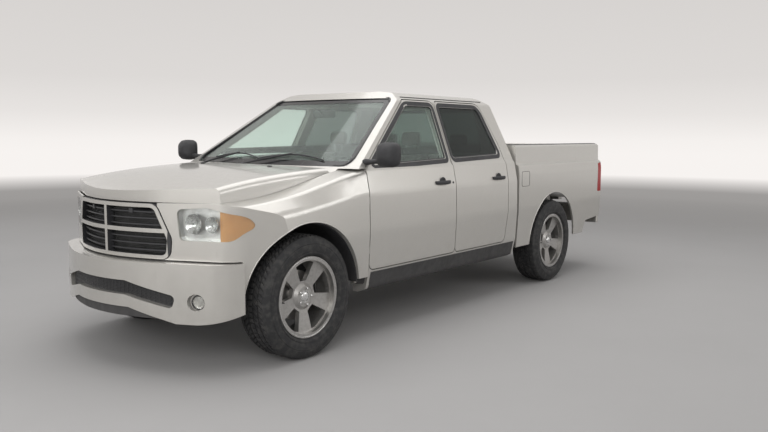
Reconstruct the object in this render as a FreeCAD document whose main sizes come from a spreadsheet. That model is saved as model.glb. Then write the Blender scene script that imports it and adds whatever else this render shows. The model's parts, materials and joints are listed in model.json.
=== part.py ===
import FreeCAD, Part
import math
import os

import Sketcher

# A four-door pickup truck with a separate load bed, on a ladder frame.
# +X points to the front, +Y to the left and +Z up, all in millimetres. The origin is on the ground,
# under the middle of the truck's length. Every size is a cell of one sheet.

V = FreeCAD.Vector

DIMENSIONS = [
    ("wheelbase", 3569, "front axle to rear axle"),
    ("front_overhang", 955, "front axle to the bumper's foremost point"),
    ("rear_overhang", 1260, "rear axle to the bumper's rearmost point"),
    ("track_width", 1727, "between the middles of two opposite tyres"),
    ("half_width", 1010, "centre line to the widest point of the doors"),
    ("tyre_radius", 418, "outer radius of a tyre, which is also the axle's height"),
    ("tyre_width", 275, "widest section of a tyre"),
    ("tread_width", 226, "tread of a tyre, shoulder to shoulder"),
    ("bead_radius", 262, "inner radius of a tyre where it sits on the rim"),
    ("flange_radius", 274, "outer radius of the rim's lips"),
    ("rim_width", 232, "rim over its lips"),
    ("rim_wall", 14, "wall of the rim's barrel"),
    ("wheel_offset", 20, "tyre's middle to the wheel's seat on its hub"),
    ("wheel_face", 84, "tyre's middle to the front of the spokes"),
    ("spoke_depth", 52, "spokes, front to back"),
    ("spoke_count", 5, "number of spokes"),
    ("spoke_gap_angle", 48, "angle that one window between spokes takes"),
    ("hub_radius", 78, "hub and the wheel's centre"),
    ("disc_radius", 168, "brake disc"),
    ("disc_thickness", 26, "brake disc"),
    ("disc_inset", 30, "tyre's middle to the inner face of the brake disc"),
    ("kingpin_inset", 80, "tyre's middle to the steering axis"),
    ("seat_clearance", 0.3, "gap between a piece and what carries it"),
    ("shut_gap", 8, "gap round doors, lids and panels"),
    ("arch_radius", 500, "wheel opening, about the axle"),
    ("arch_lip", 14, "return edge round a wheel opening"),
    ("liner_wall", 7, "wheelhouse liner"),
    ("liner_inner_y", 472, "centre line to the liner's inner wall"),
    ("sill_z", 345, "lowest edge of the body"),
    ("rocker_inset", 130, "widest point of the doors to the rocker's lower inner edge"),
    ("door_bottom", 520, "lower edge of the doors"),
    ("widest_z", 800, "height where the doors are widest"),
    ("crease_z", 1075, "crease under the belt line"),
    ("belt_z", 1238, "belt line"),
    ("glass_inset", 62, "widest point of the doors to the side glass at the belt"),
    ("roof_edge_y", 705, "centre line to the roof edge"),
    ("roof_edge_z", 1775, "roof edge over the doors"),
    ("roof_side_y", 590, "centre line to the roof's crown edge"),
    ("roof_side_z", 1838, "height of the roof's crown edge"),
    ("roof_z", 1890, "highest point of the roof"),
    ("cab_back", -832, "rear wall of the cab"),
    ("cab_front", 1400, "front posts of the cab"),
    ("cab_wall", 60, "cab's pillars and roof, skin to lining"),
    ("door_front", 1330, "front edge of the front doors"),
    ("door_split", 205, "shut line between front and rear doors"),
    ("door_end", -660, "rear edge of the rear doors"),
    ("pillar_lean", 70, "how far the pillar between the doors leans back"),
    ("door_flange", 20, "depth of the door's outer edge"),
    ("door_thickness", 118, "door below the glass, skin to lining"),
    ("door_frame_depth", 34, "door frame round the glass"),
    ("door_frame_width", 46, "door frame round the glass, seen from the side"),
    ("door_rebate", 46, "outer skin to the cab's pillar behind a door's edge"),
    ("door_step", 60, "door's outer edge to its inner box"),
    ("door_box_bottom", 618, "lower edge of the door's inner box"),
    ("sill_top", 600, "top of the door sill"),
    ("hinge_setback", 25, "door's front edge to its hinge axis"),
    ("hinge_inset", 12, "widest point of the door to its hinge axis"),
    ("pillar_cover", 46, "door's outer edge to the opening it closes"),
    ("hinge_height", 40, "height of a door hinge's lug"),
    ("lower_hinge_z", 745, "underside of the lower door hinges"),
    ("upper_hinge_z", 915, "underside of the upper door hinges"),
    ("hinge_pin", 5, "radius of a door hinge at its axis"),
    ("glass_thickness", 5, "all panes"),
    ("screen_base_x", 1550, "windscreen's surface at the centre, at its base"),
    ("screen_base_z", 1250, "height of the windscreen's base"),
    ("screen_run", 1.6, "windscreen's run back for each millimetre up"),
    ("screen_bow", 3287, "radius of the windscreen in plan"),
    ("hood_rear", 1640, "hood's rear edge at the centre"),
    ("hood_inset", 210, "widest point of the doors to the hood's sides"),
    ("hood_thickness", 26, "hood, skin to frame"),
    ("hood_hinge_x", 1560, "hood's hinge axis"),
    ("hood_hinge_z", 1208, "hood's hinge axis"),
    ("fender_skin", 12, "front fender"),
    ("grille_top", 1062, "grille's upper edge"),
    ("grille_bottom", 716, "grille's lower edge"),
    ("grille_half", 518, "centre line to the widest point of the grille's surround"),
    ("grille_rim", 24, "grille's surround, seen from the front"),
    ("grille_bar", 26, "grille's upright and level bars"),
    ("slat_pitch", 40, "one grille slat to the next"),
    ("slat_thickness", 9, "grille slat"),
    ("lamp_top", 1040, "upper edge of the headlamps"),
    ("lamp_bottom", 842, "lower edge of the headlamps"),
    ("bumper_top", 704, "front bumper's upper edge"),
    ("bumper_bottom", 330, "front bumper's lower edge"),
    ("bumper_stand", 87, "bumper's face in front of the grille's surround"),
    ("bumper_wall", 46, "bumper, face to back"),
    ("bed_gap", 40, "cab to load bed"),
    ("bed_floor_z", 887, "load floor"),
    ("bed_floor_thickness", 37, "load floor with its ribs"),
    ("bed_wall", 167, "widest point of the doors to the inside of the load bed"),
    ("bed_rail_z", 1400, "top of the load bed's sides"),
    ("bed_shoulder_z", 1205, "shoulder of the load bed's sides"),
    ("bed_rail_inset", 48, "widest point of the doors to the bed's upper side"),
    ("bed_skin", 16, "bed's skin below the floor"),
    ("bed_tail_gap", 106, "rear end of the load bed's sides to the rear bumper's rearmost point"),
    ("bed_front_wall", 34, "load bed's front wall"),
    ("wheelhouse_y", 648, "centre line to the rear wheelhouses"),
    ("wheelhouse_radius", 575, "outside of a rear wheelhouse, about the axle"),
    ("tailgate_thickness", 80, "tailgate"),
    ("tailgate_bottom", 800, "tailgate's lower edge"),
    ("tailgate_hinge_inset", 26, "tailgate's outer face to its hinge axis"),
    ("tailgate_hinge_z", 822, "tailgate's hinge axis"),
    ("rear_bumper_top", 700, "step of the rear bumper"),
    ("rear_bumper_bottom", 500, "lower edge of the rear bumper"),
    ("step_plate", 16, "plate of the rear step round the ball's hole"),
    ("ball_hole_radius", 12.7, "hole for a tow ball's shank"),
    ("rail_outer_y", 440, "centre line to the outside of the frame's rails"),
    ("rail_width", 72, "frame rail"),
    ("rail_height", 160, "frame rail"),
    ("rail_bottom", 400, "underside of the rails under the cab"),
    ("rail_kick", 200, "rise of the rails over the rear axle"),
    ("frame_front_gap", 212, "front bumper's foremost point to the rails"),
    ("frame_rear_gap", 152, "rear bumper's rearmost point to the rails"),
    ("cab_floor_z", 625, "cab floor"),
    ("cab_floor_thickness", 35, "cab floor"),
    ("axle_tube_radius", 44, "rear axle's tubes"),
    ("differential_radius", 150, "rear axle's housing"),
    ("spring_y", 535, "centre line to the middle of a leaf spring"),
    ("spring_width", 66, "leaf spring"),
    ("arm_thickness", 36, "suspension arms"),
    ("lower_arm_z", 290, "underside of the lower arms"),
    ("upper_arm_z", 560, "underside of the upper arms"),
    ("steering_wheel_radius", 186, "steering wheel's rim, to the middle of its section"),
    ("steering_wheel_grip", 15, "radius of the steering wheel's rim"),
    ("steering_wheel_x", 850, "steering wheel's centre"),
    ("steering_wheel_y", 385, "steering wheel's centre"),
    ("steering_wheel_z", 1135, "steering wheel's centre"),
    ("column_rake", 26, "steering column's angle above level"),
    ("spare_gap", 572, "rear bumper's rearmost point to the spare wheel's centre"),
    ("spare_top", 585, "top of the spare wheel, under the rails"),
]


class Size:
    """A number of the sheet, or one worked out from such numbers, with the expression that gives it."""

    def __init__(self, value, text):
        self.value = float(value)
        self.text = text

    def __float__(self):
        return self.value

    def __neg__(self):
        return Size(-self.value, f"(-{self.text})")

    def __add__(self, other):
        return Size(self.value + float(other), f"({self.text} + {written(other)})")

    def __radd__(self, other):
        return Size(float(other) + self.value, f"({written(other)} + {self.text})")

    def __sub__(self, other):
        return Size(self.value - float(other), f"({self.text} - {written(other)})")

    def __rsub__(self, other):
        return Size(float(other) - self.value, f"({written(other)} - {self.text})")

    def __mul__(self, other):
        return Size(self.value * float(other), f"({self.text} * {written(other)})")

    def __rmul__(self, other):
        return Size(float(other) * self.value, f"({written(other)} * {self.text})")

    def __truediv__(self, other):
        return Size(self.value / float(other), f"({self.text} / {written(other)})")


def written(number):
    """The expression of a Size or of a plain number."""
    return number.text if isinstance(number, Size) else repr(float(number))


class Sizes:
    """The sheet's cells by name."""


doc = FreeCAD.newDocument("Pickup")
sheet = doc.addObject("Spreadsheet::Sheet", "Sizes")
d = Sizes()
for row, (alias, number, meaning) in enumerate(DIMENSIONS, start=1):
    sheet.set(f"A{row}", meaning)
    sheet.set(f"B{row}", str(number))
    sheet.setAlias(f"B{row}", alias)
doc.recompute()
for alias, _, _ in DIMENSIONS:
    setattr(d, alias, Size(sheet.get(alias), f"Sizes.{alias}"))

# Stations along the truck, worked out from the driving sizes.
nose_x = (d.front_overhang + d.wheelbase + d.rear_overhang) / 2
front_axle_x = nose_x - d.front_overhang
rear_axle_x = front_axle_x - d.wheelbase
axle_z = d.tyre_radius
wheel_y = d.track_width / 2
nose_centre = nose_x - d.bumper_stand

# Distances from the centre line.
rocker_tuck = d.half_width - d.rocker_inset
glass_edge_y = d.half_width - d.glass_inset
hood_half = d.half_width - d.hood_inset
hood_hinge_y = hood_half - 32
bed_inner_y = d.half_width - d.bed_wall
bed_rail_y = d.half_width - d.bed_rail_inset
cab_inner_y = d.half_width - 180

# The load bed, the frame and the front panel along the truck.
bed_front = d.cab_back - d.bed_gap
tail_x = -nose_x
bed_end = tail_x + d.bed_tail_gap
frame_front = nose_x - d.frame_front_gap
frame_rear = tail_x + d.frame_rear_gap
spare_x = tail_x + d.spare_gap
panel_x = nose_centre - 225

nodes = []

# Half the width and length of the blocks that only cut or bound other forms.
WIDE = 1500.0


def bind(thing, prop, size):
    """Tie a property to a size."""
    thing.setExpression(prop, written(size))


def seat_at(thing, x, y, z, rotation=None):
    """Place an object, with its place tied to the sheet."""
    thing.Placement = FreeCAD.Placement(V(float(x), float(y), float(z)), rotation or FreeCAD.Rotation())
    for axis, size in (("x", x), ("y", y), ("z", z)):
        if isinstance(size, Size):
            bind(thing, f".Placement.Base.{axis}", size)
    return thing


def keep(thing, label, x=0.0, y=0.0, z=0.0, turn=0.0):
    """Make a finished object one of the truck's pieces, at a place and turned about +Z."""
    thing.Label = label
    seat_at(thing, x, y, z, FreeCAD.Rotation(V(0, 0, 1), turn))
    nodes.append(thing)
    return thing


def piece(label, shape):
    """A piece whose shape is worked out from the sizes by the functions below."""
    thing = doc.addObject("Part::Feature", label)
    thing.Shape = shape
    return keep(thing, label)


def pair(name, shape):
    """The left piece and its mirror image on the right."""
    piece(f"{name}_left", shape)
    piece(f"{name}_right", mirrored(shape))


def mirrored(shape):
    return shape.mirror(V(0, 0, 0), V(0, 1, 0))


# Objects of the document

def add(kind, name, **sizes):
    """A document object whose sizes are tied to the sheet."""
    thing = doc.addObject(kind, name)
    for prop, size in sizes.items():
        setattr(thing, prop, float(size))
        if isinstance(size, Size):
            bind(thing, prop, size)
    return thing


def box(name, x0, x1, y0, y1, z0, z1):
    """A box object between two corners."""
    return seat_at(add("Part::Box", name, Length=x1 - x0, Width=y1 - y0, Height=z1 - z0), x0, y0, z0)


ALONG = (FreeCAD.Rotation(V(0, 1, 0), 90), FreeCAD.Rotation(V(1, 0, 0), -90), FreeCAD.Rotation())


def bar(name, start, end, radius):
    """A round bar object between two points; the start is the lower point on its axis."""
    run = [b - a for a, b in zip(start, end)]
    moved = [axis for axis in range(3) if abs(float(run[axis])) > 1e-6]
    if len(moved) == 1:
        straight = add("Part::Cylinder", name, Radius=radius, Height=run[moved[0]])
        return seat_at(straight, *start, ALONG[moved[0]])
    line = V(*map(float, run))
    slanted = add("Part::Cylinder", name, Radius=radius, Height=line.Length)
    return seat_at(slanted, *start, FreeCAD.Rotation(V(0, 0, 1), line))


def ball(name, centre, radius):
    return seat_at(add("Part::Sphere", name, Radius=radius), *centre)


def cone(name, start, first_radius, second_radius, length, rotation):
    """A cone object with its axis turned from +Z."""
    taper = add("Part::Cone", name, Radius1=first_radius, Radius2=second_radius, Height=length)
    return seat_at(taper, *start, rotation)


def drawn(drawing, corners):
    """Closed straight lines in a sketch, each corner tied to its sizes."""
    count = len(corners)
    spots = [V(float(u), float(v), 0) for u, v in corners]
    for index in range(count):
        drawing.addGeometry(Part.LineSegment(spots[index], spots[(index + 1) % count]), False)
    for index in range(count):
        drawing.addConstraint(Sketcher.Constraint("Coincident", index, 2, (index + 1) % count, 1))
    for index, (u, v) in enumerate(corners):
        for kind, size in (("DistanceX", u), ("DistanceY", v)):
            at = drawing.addConstraint(Sketcher.Constraint(kind, -1, 1, index, 1, float(size)))
            if isinstance(size, Size):
                drawing.setExpression(f"Constraints[{at}]", written(size))
    return drawing


DRAWING_TURN = {
    "xy": FreeCAD.Rotation(),
    "xz": FreeCAD.Rotation(V(1, 0, 0), 90),
    "yz": FreeCAD.Rotation(0.5, 0.5, 0.5, 0.5),
}


def slab(name, corners, plane, start, end):
    """A sketch in plane xy, xz or yz, drawn out between two levels along the plane's axis."""
    drawing = drawn(doc.addObject("Sketcher::SketchObject", f"{name}_sketch"), corners)
    spot = {"xy": (0, 0, start), "xz": (0, start, 0), "yz": (start, 0, 0)}[plane]
    seat_at(drawing, *spot, DRAWING_TURN[plane])
    thing = doc.addObject("Part::Extrusion", name)
    thing.Base = drawing
    thing.DirMode = "Normal"
    thing.Solid = True
    thing.Reversed = plane == "xz"
    length = end - start
    thing.LengthFwd = float(length)
    if isinstance(length, Size):
        bind(thing, "LengthFwd", length)
    return thing


def joined(name, parts):
    """One object fused from several."""
    thing = doc.addObject("Part::MultiFuse", name)
    thing.Shapes = parts
    thing.Refine = True
    return thing


def without(name, base, tools):
    """An object with others cut out of it."""
    thing = doc.addObject("Part::Cut", name)
    thing.Base = base
    thing.Tool = tools[0] if len(tools) == 1 else joined(f"{name}_tools", tools)
    thing.Refine = True
    return thing


def reflection(name, source):
    """The mirror image of an object on the truck's other side."""
    thing = doc.addObject("Part::Mirroring", name)
    thing.Source = source
    thing.Base = V(0, 0, 0)
    thing.Normal = V(0, 1, 0)
    return thing


def group(name, members):
    """Several solids that don't touch, as one piece."""
    thing = doc.addObject("Part::Compound", name)
    thing.Links = members
    return thing


def span(sign, inner, outer):
    """Y range between two distances from the centre line, on one side."""
    return (inner, outer) if sign > 0 else (-outer, -inner)


# Outlines

def plain(points):
    """Outline points as plain numbers: across, up and the corner's radius."""
    return [(float(p[0]), float(p[1]), float(p[2]) if len(p) > 2 else 0.0) for p in points]


def openness(before, here, after):
    """Half the angle inside a corner."""
    spot = V(here[0], here[1], 0)
    back = V(before[0], before[1], 0) - spot
    ahead = V(after[0], after[1], 0) - spot
    return back.getAngle(ahead) / 2


def reaches(points):
    """How far each corner's rounding reaches along its runs, so that neighbours don't meet."""
    count = len(points)
    wanted = []
    for index, here in enumerate(points):
        half = openness(points[index - 1], here, points[(index + 1) % count])
        straight = half > math.pi / 2 - 1e-4
        wanted.append(0.0 if here[2] <= 0 or straight else here[2] / math.tan(half))
    shares = [1.0] * count
    for index, here in enumerate(points):
        after = (index + 1) % count
        run = math.hypot(points[after][0] - here[0], points[after][1] - here[1])
        total = wanted[index] + wanted[after]
        if total > 0.99 * run:
            for end in (index, after):
                shares[end] = min(shares[end], 0.99 * run / total)
    return [length * share for length, share in zip(wanted, shares)]


def corner(before, here, after, reach):
    """Where the rounding of a corner starts, its middle and where it ends."""
    spot = V(here[0], here[1], 0)
    if reach <= 0:
        return spot, None, spot
    back = V(before[0], before[1], 0) - spot
    ahead = V(after[0], after[1], 0) - spot
    half = back.getAngle(ahead) / 2
    radius = reach * math.tan(half)
    back.normalize()
    ahead.normalize()
    inward = back + ahead
    inward.normalize()
    middle = spot + inward * (radius / math.sin(half) - radius)
    return spot + back * reach, middle, spot + ahead * reach


def outline(points, plane, level=0.0):
    """A closed wire with rounded corners: plane xy, xz or yz, at a level along its normal."""
    points = plain(points)
    level = float(level)

    def place(spot):
        return {
            "xy": V(spot.x, spot.y, level),
            "xz": V(spot.x, level, spot.y),
            "yz": V(level, spot.x, spot.y),
        }[plane]

    count = len(points)
    reach = reaches(points)
    corners = [corner(points[i - 1], points[i], points[(i + 1) % count], reach[i]) for i in range(count)]
    edges = []
    for index, (start, middle, end) in enumerate(corners):
        if middle is not None:
            edges.append(Part.Arc(place(start), place(middle), place(end)).toShape())
        following = corners[(index + 1) % count][0]
        if end.distanceToPoint(following) > 1e-6:
            edges.append(Part.makeLine(place(end), place(following)))
    return Part.Wire(edges)


NORMAL = {"xy": V(0, 0, 1), "xz": V(0, 1, 0), "yz": V(1, 0, 0)}


def prism(points, plane, start, end):
    """A solid of constant outline between two levels."""
    start, end = float(start), float(end)
    return Part.Face(outline(points, plane, start)).extrude(NORMAL[plane] * (end - start))


def block(x0, x1, y0, y1, z0, z1):
    """A box between two corners."""
    x0, x1, y0, y1, z0, z1 = (float(n) for n in (x0, x1, y0, y1, z0, z1))
    return Part.makeBox(x1 - x0, y1 - y0, z1 - z0, V(x0, y0, z0))


def rod(start, end, radius):
    """A round bar between two points."""
    start, end = V(*map(float, start)), V(*map(float, end))
    return Part.makeCylinder(float(radius), start.distanceToPoint(end), start, end - start)


def inset(points, distance):
    """The same closed outline moved inward, or outward where the distance is negative."""
    points = plain(points)
    distance = float(distance)
    count = len(points)
    area = sum(points[i - 1][0] * points[i][1] - points[i][0] * points[i - 1][1] for i in range(count))
    side = 1.0 if area > 0 else -1.0
    moved = []
    for index in range(count):
        before, here, after = points[index - 1], points[index], points[(index + 1) % count]
        first = V(here[0] - before[0], here[1] - before[1], 0)
        second = V(after[0] - here[0], after[1] - here[1], 0)
        first.normalize()
        second.normalize()
        turn = first.x * second.y - first.y * second.x
        normal_a = V(-first.y, first.x, 0) * side
        normal_b = V(-second.y, second.x, 0) * side
        shift = (normal_a + normal_b) * (distance / (1 + normal_a.dot(normal_b)))
        radius = here[2] - distance if turn * side > 0 else here[2] + distance
        moved.append((here[0] + shift.x, here[1] + shift.y, max(radius, 0.0) if here[2] > 0 else 0.0))
    return moved


def both_sides(half):
    """A closed outline from its left half, which runs from the bottom to the top on the centre line."""
    half = plain(half)
    return half + [(-y, z, r) for y, z, r in reversed(half) if abs(y) > 1e-6]


# The body's common surfaces

def cab_section():
    """Cab and doors across the truck, from the rocker round to the roof."""
    return both_sides([
        (rocker_tuck, d.sill_z, 30),
        (d.half_width - 48, d.sill_z + 28, 40),
        (d.half_width - 16, d.door_bottom, 250),
        (d.half_width, d.widest_z, 700),
        (d.half_width - 7, d.crease_z, 260),
        (d.half_width - 40, d.belt_z, 24),
        (glass_edge_y, d.belt_z + 30, 12),
        (d.roof_edge_y, d.roof_edge_z, 60),
        (d.roof_side_y, d.roof_side_z, 160),
        (0, d.roof_z, 5000),
    ])


def cab_side():
    """Cab seen from the side, from the rear wall over the roof to the front posts."""
    return [
        (d.cab_back, d.sill_z, 20),
        (d.cab_back, d.belt_z + 90, 60),
        (d.cab_back + 38, d.roof_edge_z + 15, 90),
        (d.cab_back + 190, d.roof_z - 18, 260),
        (-80, d.roof_z + 4, 5000),
        (1100, d.roof_edge_z + 35),
        (1800, d.belt_z + 200),
        (1800, d.belt_z - 14),
        (d.cab_front, d.belt_z - 14),
        (d.cab_front, d.sill_z, 20),
    ]


def screen_block(back=0.0):
    """Everything behind the windscreen's surface, which is curved in plan and raked back."""
    low = float(d.screen_base_z) - 1000
    apex = float(d.screen_base_x) + 1000 * float(d.screen_run) - float(back)
    bow = float(d.screen_bow)
    half = 1300.0
    edge = apex - (bow - math.sqrt(bow * bow - half * half))
    front = Part.Arc(V(edge, -half, low), V(apex, 0, low), V(edge, half, low)).toShape()
    rear = -4000.0
    wire = Part.Wire([
        front,
        Part.makeLine(V(edge, half, low), V(rear, half, low)),
        Part.makeLine(V(rear, half, low), V(rear, -half, low)),
        Part.makeLine(V(rear, -half, low), V(edge, -half, low)),
    ])
    return Part.Face(wire).extrude(V(-float(d.screen_run), 0, 1) * 1800)


def section_prism(inward, x0, x1):
    """The cab's section, moved inward, between two stations."""
    return prism(inset(cab_section(), inward), "yz", x0, x1)


def front_plan(centre, side, stand):
    """Front end seen from above: straight sides that turn round into a bowed nose."""
    half = [
        (-3000, side),
        (centre - 670, side, 700),
        (centre - 300, side - 132, 260),
        (centre - 190, 660, 1200),
        (centre - 70, 400, 1200),
        (centre, 130, 900),
    ]
    points = plain(half)
    points += [(x, -y, r) for x, y, r in reversed(points)]
    return inset(points, -float(stand))


def nose_prism(stand, z0, z1):
    """Everything behind the nose's surface, moved forward by a stand."""
    return prism(front_plan(nose_centre, d.half_width + 12, stand), "xy", z0, z1)


def nose_shell(face, back, z0, z1):
    """A band that follows the nose, between two stands."""
    return nose_prism(face, z0, z1).cut(nose_prism(back, float(z0) - 1, float(z1) + 1))


def bumper_prism(stand, z0, z1):
    """Everything behind the front bumper's face, moved forward by a stand."""
    return prism(front_plan(nose_x, d.half_width - 2, stand), "xy", z0, z1)


def between(start, end, share):
    """A station between two others."""
    return start + (end - start) * share


# Doors

def front_door_outline():
    """Front door seen from the side."""
    front = d.door_front
    rear = d.door_split + d.shut_gap / 2
    frame_gap = 5
    return [
        (front, d.door_bottom, 50),
        (front, d.belt_z, 10),
        (front - 14, d.belt_z + 24, 20),
        (front - 764, d.roof_edge_z, 70),
        (rear - d.pillar_lean + frame_gap, d.roof_edge_z, 50),
        (rear + frame_gap, d.belt_z + 30, 8),
        (rear, d.belt_z, 8),
        (rear, d.door_bottom, 40),
    ]


def rear_door_outline():
    """Rear door seen from the side."""
    front = d.door_split - d.shut_gap / 2
    frame_gap = 5
    return [
        (front, d.door_bottom, 40),
        (front, d.belt_z, 8),
        (front - frame_gap, d.belt_z + 30, 8),
        (front - d.pillar_lean - frame_gap, d.roof_edge_z, 50),
        (d.door_end + 82, d.roof_edge_z, 90),
        (d.door_end - 10, d.belt_z + 160, 200),
        (d.door_end, d.widest_z, 300),
        (d.door_end + 40, d.door_bottom, 60),
    ]


def front_window():
    """Pane of a front door: raked front edge, level sill that climbs a little to the rear."""
    rear = d.door_split + d.shut_gap / 2 + 5 + d.door_frame_width
    low = d.belt_z + 36
    return [
        (d.door_front - 108, low, 26),
        (d.door_front - 764 - 10, d.roof_edge_z - d.door_frame_width, 46),
        (rear - d.pillar_lean + 6, d.roof_edge_z - d.door_frame_width, 30),
        (rear, low + 26, 24),
    ]


def rear_window():
    """Pane of a rear door."""
    front = d.door_split - d.shut_gap / 2 - 5 - d.door_frame_width
    low = d.belt_z + 36
    return [
        (front, low + 27, 24),
        (front - d.pillar_lean + 6, d.roof_edge_z - d.door_frame_width, 30),
        (d.door_end + 82 + 34, d.roof_edge_z - d.door_frame_width, 70),
        (d.door_end + 50, low + 46, 40),
    ]


def door_shape(door, window):
    """A door: thin edge all round, deep box below the belt, frame round the glass."""
    x0 = float(min(p[0] for p in plain(door))) - 10
    x1 = float(max(p[0] for p in plain(door))) + 10
    left = block(x0, x1, 0, WIDE, 0, 2000)
    skin = section_prism(0, x0, x1).cut(section_prism(d.door_flange, x0 - 1, x1 + 1)).common(left)
    skin = skin.common(prism(door, "xz", 0, WIDE))
    deep = section_prism(d.door_flange, x0, x1).common(left)
    deep = deep.cut(section_prism(d.door_thickness, x0 - 1, x1 + 1))
    box_outline = prism(inset(door, d.door_step), "xz", 0, WIDE)
    deep = deep.common(box_outline)
    deep = deep.common(block(x0, x1, 700, WIDE, d.door_box_bottom, d.belt_z + 6))
    frame = section_prism(d.door_flange, x0, x1).cut(section_prism(d.door_frame_depth, x0 - 1, x1 + 1))
    frame = frame.common(left).common(prism(inset(door, 12), "xz", 0, WIDE))
    frame = frame.common(block(x0, x1, 500, WIDE, d.belt_z - 20, 2000))
    whole = skin.fuse([deep, frame]).cut(prism(window, "xz", 400, WIDE))
    front = max(p[0] for p in plain(door))
    pockets = [hinge_pocket(front, low) for low in (d.lower_hinge_z, d.upper_hinge_z)]
    return whole.cut(pockets).removeSplitter()


def hinge_lug(front, low):
    """A fixed hinge lug on the left pillar, from the pillar out to the door's axis."""
    x, y = front - d.hinge_setback, d.half_width - d.hinge_inset
    pin = rod((x, y, low), (x, y, low + d.hinge_height), d.hinge_pin)
    inner = d.half_width - d.cab_wall - 10
    web = block(x - d.hinge_pin, x + d.hinge_pin, inner, y, low, low + d.hinge_height)
    return pin.fuse(web)


def hinge_pocket(front, low):
    """Room for a lug in the door's front edge, over the whole swing."""
    x = front - float(d.hinge_setback)
    top = low + d.hinge_height + d.seat_clearance
    face = d.half_width - d.hinge_inset + d.hinge_pin + 1
    return block(x - 12, front + 5, cab_inner_y - 10, face, low - d.seat_clearance, top)


def pane_shape(window):
    """A pane that follows the body's side, a little behind the frame's outer face."""
    points = plain(window)
    x0 = min(p[0] for p in points) - 5
    x1 = max(p[0] for p in points) + 5
    sunk = 10.0
    behind = section_prism(sunk + float(d.glass_thickness), x0 - 1, x1 + 1)
    sheet_solid = section_prism(sunk, x0, x1).cut(behind)
    return sheet_solid.common(prism(inset(window, d.seat_clearance), "xz", 400, WIDE))


# Cab

def cab_shell_shape():
    """Roof, pillars, sills, rear wall and front posts in one hollow shell."""
    x0, x1 = float(d.cab_back) - 50, 1900.0
    wall = float(d.cab_wall)
    outer = section_prism(0, x0, x1).common(prism(cab_side(), "xz", -WIDE, WIDE)).common(screen_block())
    inner = section_prism(wall, x0, x1).common(prism(inset(cab_side(), wall), "xz", -WIDE, WIDE))
    inner = inner.common(screen_block(wall / math.cos(math.atan(float(d.screen_run)))))
    shell = outer.cut(inner)
    floor_opening = block(d.cab_back + wall, 1900, -cab_inner_y, cab_inner_y, 0, d.cab_floor_z + 70)
    shell = shell.cut(floor_opening)
    floor_low = d.cab_floor_z - d.cab_floor_thickness
    under_wall = block(x0, d.cab_back + wall + 1, -cab_inner_y, cab_inner_y, 0, floor_low)
    shell = shell.cut(under_wall)
    seat = section_prism(-20, d.door_front + 3, 1900).cut(section_prism(wall + 2, d.door_front - 10, 1901))
    seat = seat.common(block(0, 3000, -WIDE, WIDE, 0, d.belt_z + 14))
    shell = shell.cut(seat)
    front_opening = block(d.cab_front - wall - 20, 1900, -rocker_tuck, rocker_tuck, 0, d.belt_z - 60)
    shell = shell.cut(front_opening)
    shelf = block(d.door_front + 3, 1900, hood_half, WIDE, d.belt_z - 32, d.belt_z + 14)
    shell = shell.cut([shelf, mirrored(shelf)])
    for door in (front_door_outline(), rear_door_outline()):
        rebate = section_prism(-20, d.cab_back - 60, 1400)
        rebate = rebate.cut(section_prism(d.door_rebate, d.cab_back - 70, 1401))
        rebate = rebate.common(prism(inset(door, -d.shut_gap), "xz", -WIDE, WIDE))
        aperture = prism(inset(door, d.pillar_cover), "xz", -WIDE, WIDE)
        aperture = aperture.common(block(-3000, 3000, -WIDE, WIDE, d.sill_top, 3000))
        inside = block(-3000, 3000, -400, 400, 0, 3000)
        shell = shell.cut([rebate.cut(inside), aperture.cut(inside)])
    shell = shell.cut(screen_opening(0.0))
    shell = shell.cut(rear_glass_opening(0.0))
    for front in (d.door_front, d.door_split - d.shut_gap / 2):
        for low in (d.lower_hinge_z, d.upper_hinge_z):
            lug = hinge_lug(front, low)
            shell = shell.fuse([lug, mirrored(lug)])
    return shell.removeSplitter()


def screen_opening(smaller):
    """Opening of the windscreen, seen from the front."""
    points = both_sides([(glass_edge_y - 76, d.screen_base_z + 14, 50),
                         (d.roof_edge_y - 65, d.roof_edge_z + 14, 60)])
    return prism(inset(points, smaller), "yz", 300, 1900)


def rear_glass_opening(smaller):
    """Opening of the cab's rear window, seen from behind."""
    points = both_sides([(glass_edge_y - 298, d.belt_z + 84, 50),
                         (d.roof_edge_y - 145, d.roof_edge_z - 40, 60)])
    return prism(inset(points, smaller), "yz", d.cab_back - 80, d.cab_back + 200)


def cab_glass_shape():
    """Windscreen and rear window."""
    sunk = 8.0
    along = math.cos(math.atan(float(d.screen_run)))
    front = screen_block(sunk / along).cut(screen_block((sunk + float(d.glass_thickness)) / along))
    front = front.common(screen_opening(d.seat_clearance))
    sunk_rear = inset(cab_side(), 12)
    deeper = inset(cab_side(), 12 + d.glass_thickness)
    rear = prism(sunk_rear, "xz", -WIDE, WIDE).cut(prism(deeper, "xz", -WIDE - 1, WIDE + 1))
    rear = rear.common(rear_glass_opening(d.seat_clearance))
    return Part.makeCompound([front, rear])


def cab_floor_shape():
    """Floor with the gearbox tunnel, and the bulkhead in front of the feet."""
    top = d.cab_floor_z
    low = top - d.cab_floor_thickness
    rear = d.cab_back + d.cab_wall + d.seat_clearance
    half = cab_inner_y - d.seat_clearance
    floor = block(rear, 1250, -half, half, low, top)
    floor = floor.cut(block(rear - 1, 1251, -150, 150, low - 1, top + 1))
    hump = prism(both_sides([(180, low, 10), (150, top + 110, 60)]), "yz", rear, 1250)
    tunnel = prism(both_sides([(160, low - 60, 10), (132, top + 90, 50)]), "yz", rear - 1, 1400)
    bulkhead = [
        (1215, low, 0), (1250, low, 0), (1352, top + 260, 60), (1352, d.belt_z - 64, 0),
        (1322, d.belt_z - 64, 0), (1322, top + 268, 60), (1215, top + 12, 0),
    ]
    wall = prism(bulkhead, "xz", -half, half)
    return floor.fuse([hump, wall]).cut(tunnel).removeSplitter()


# Front end

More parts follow.
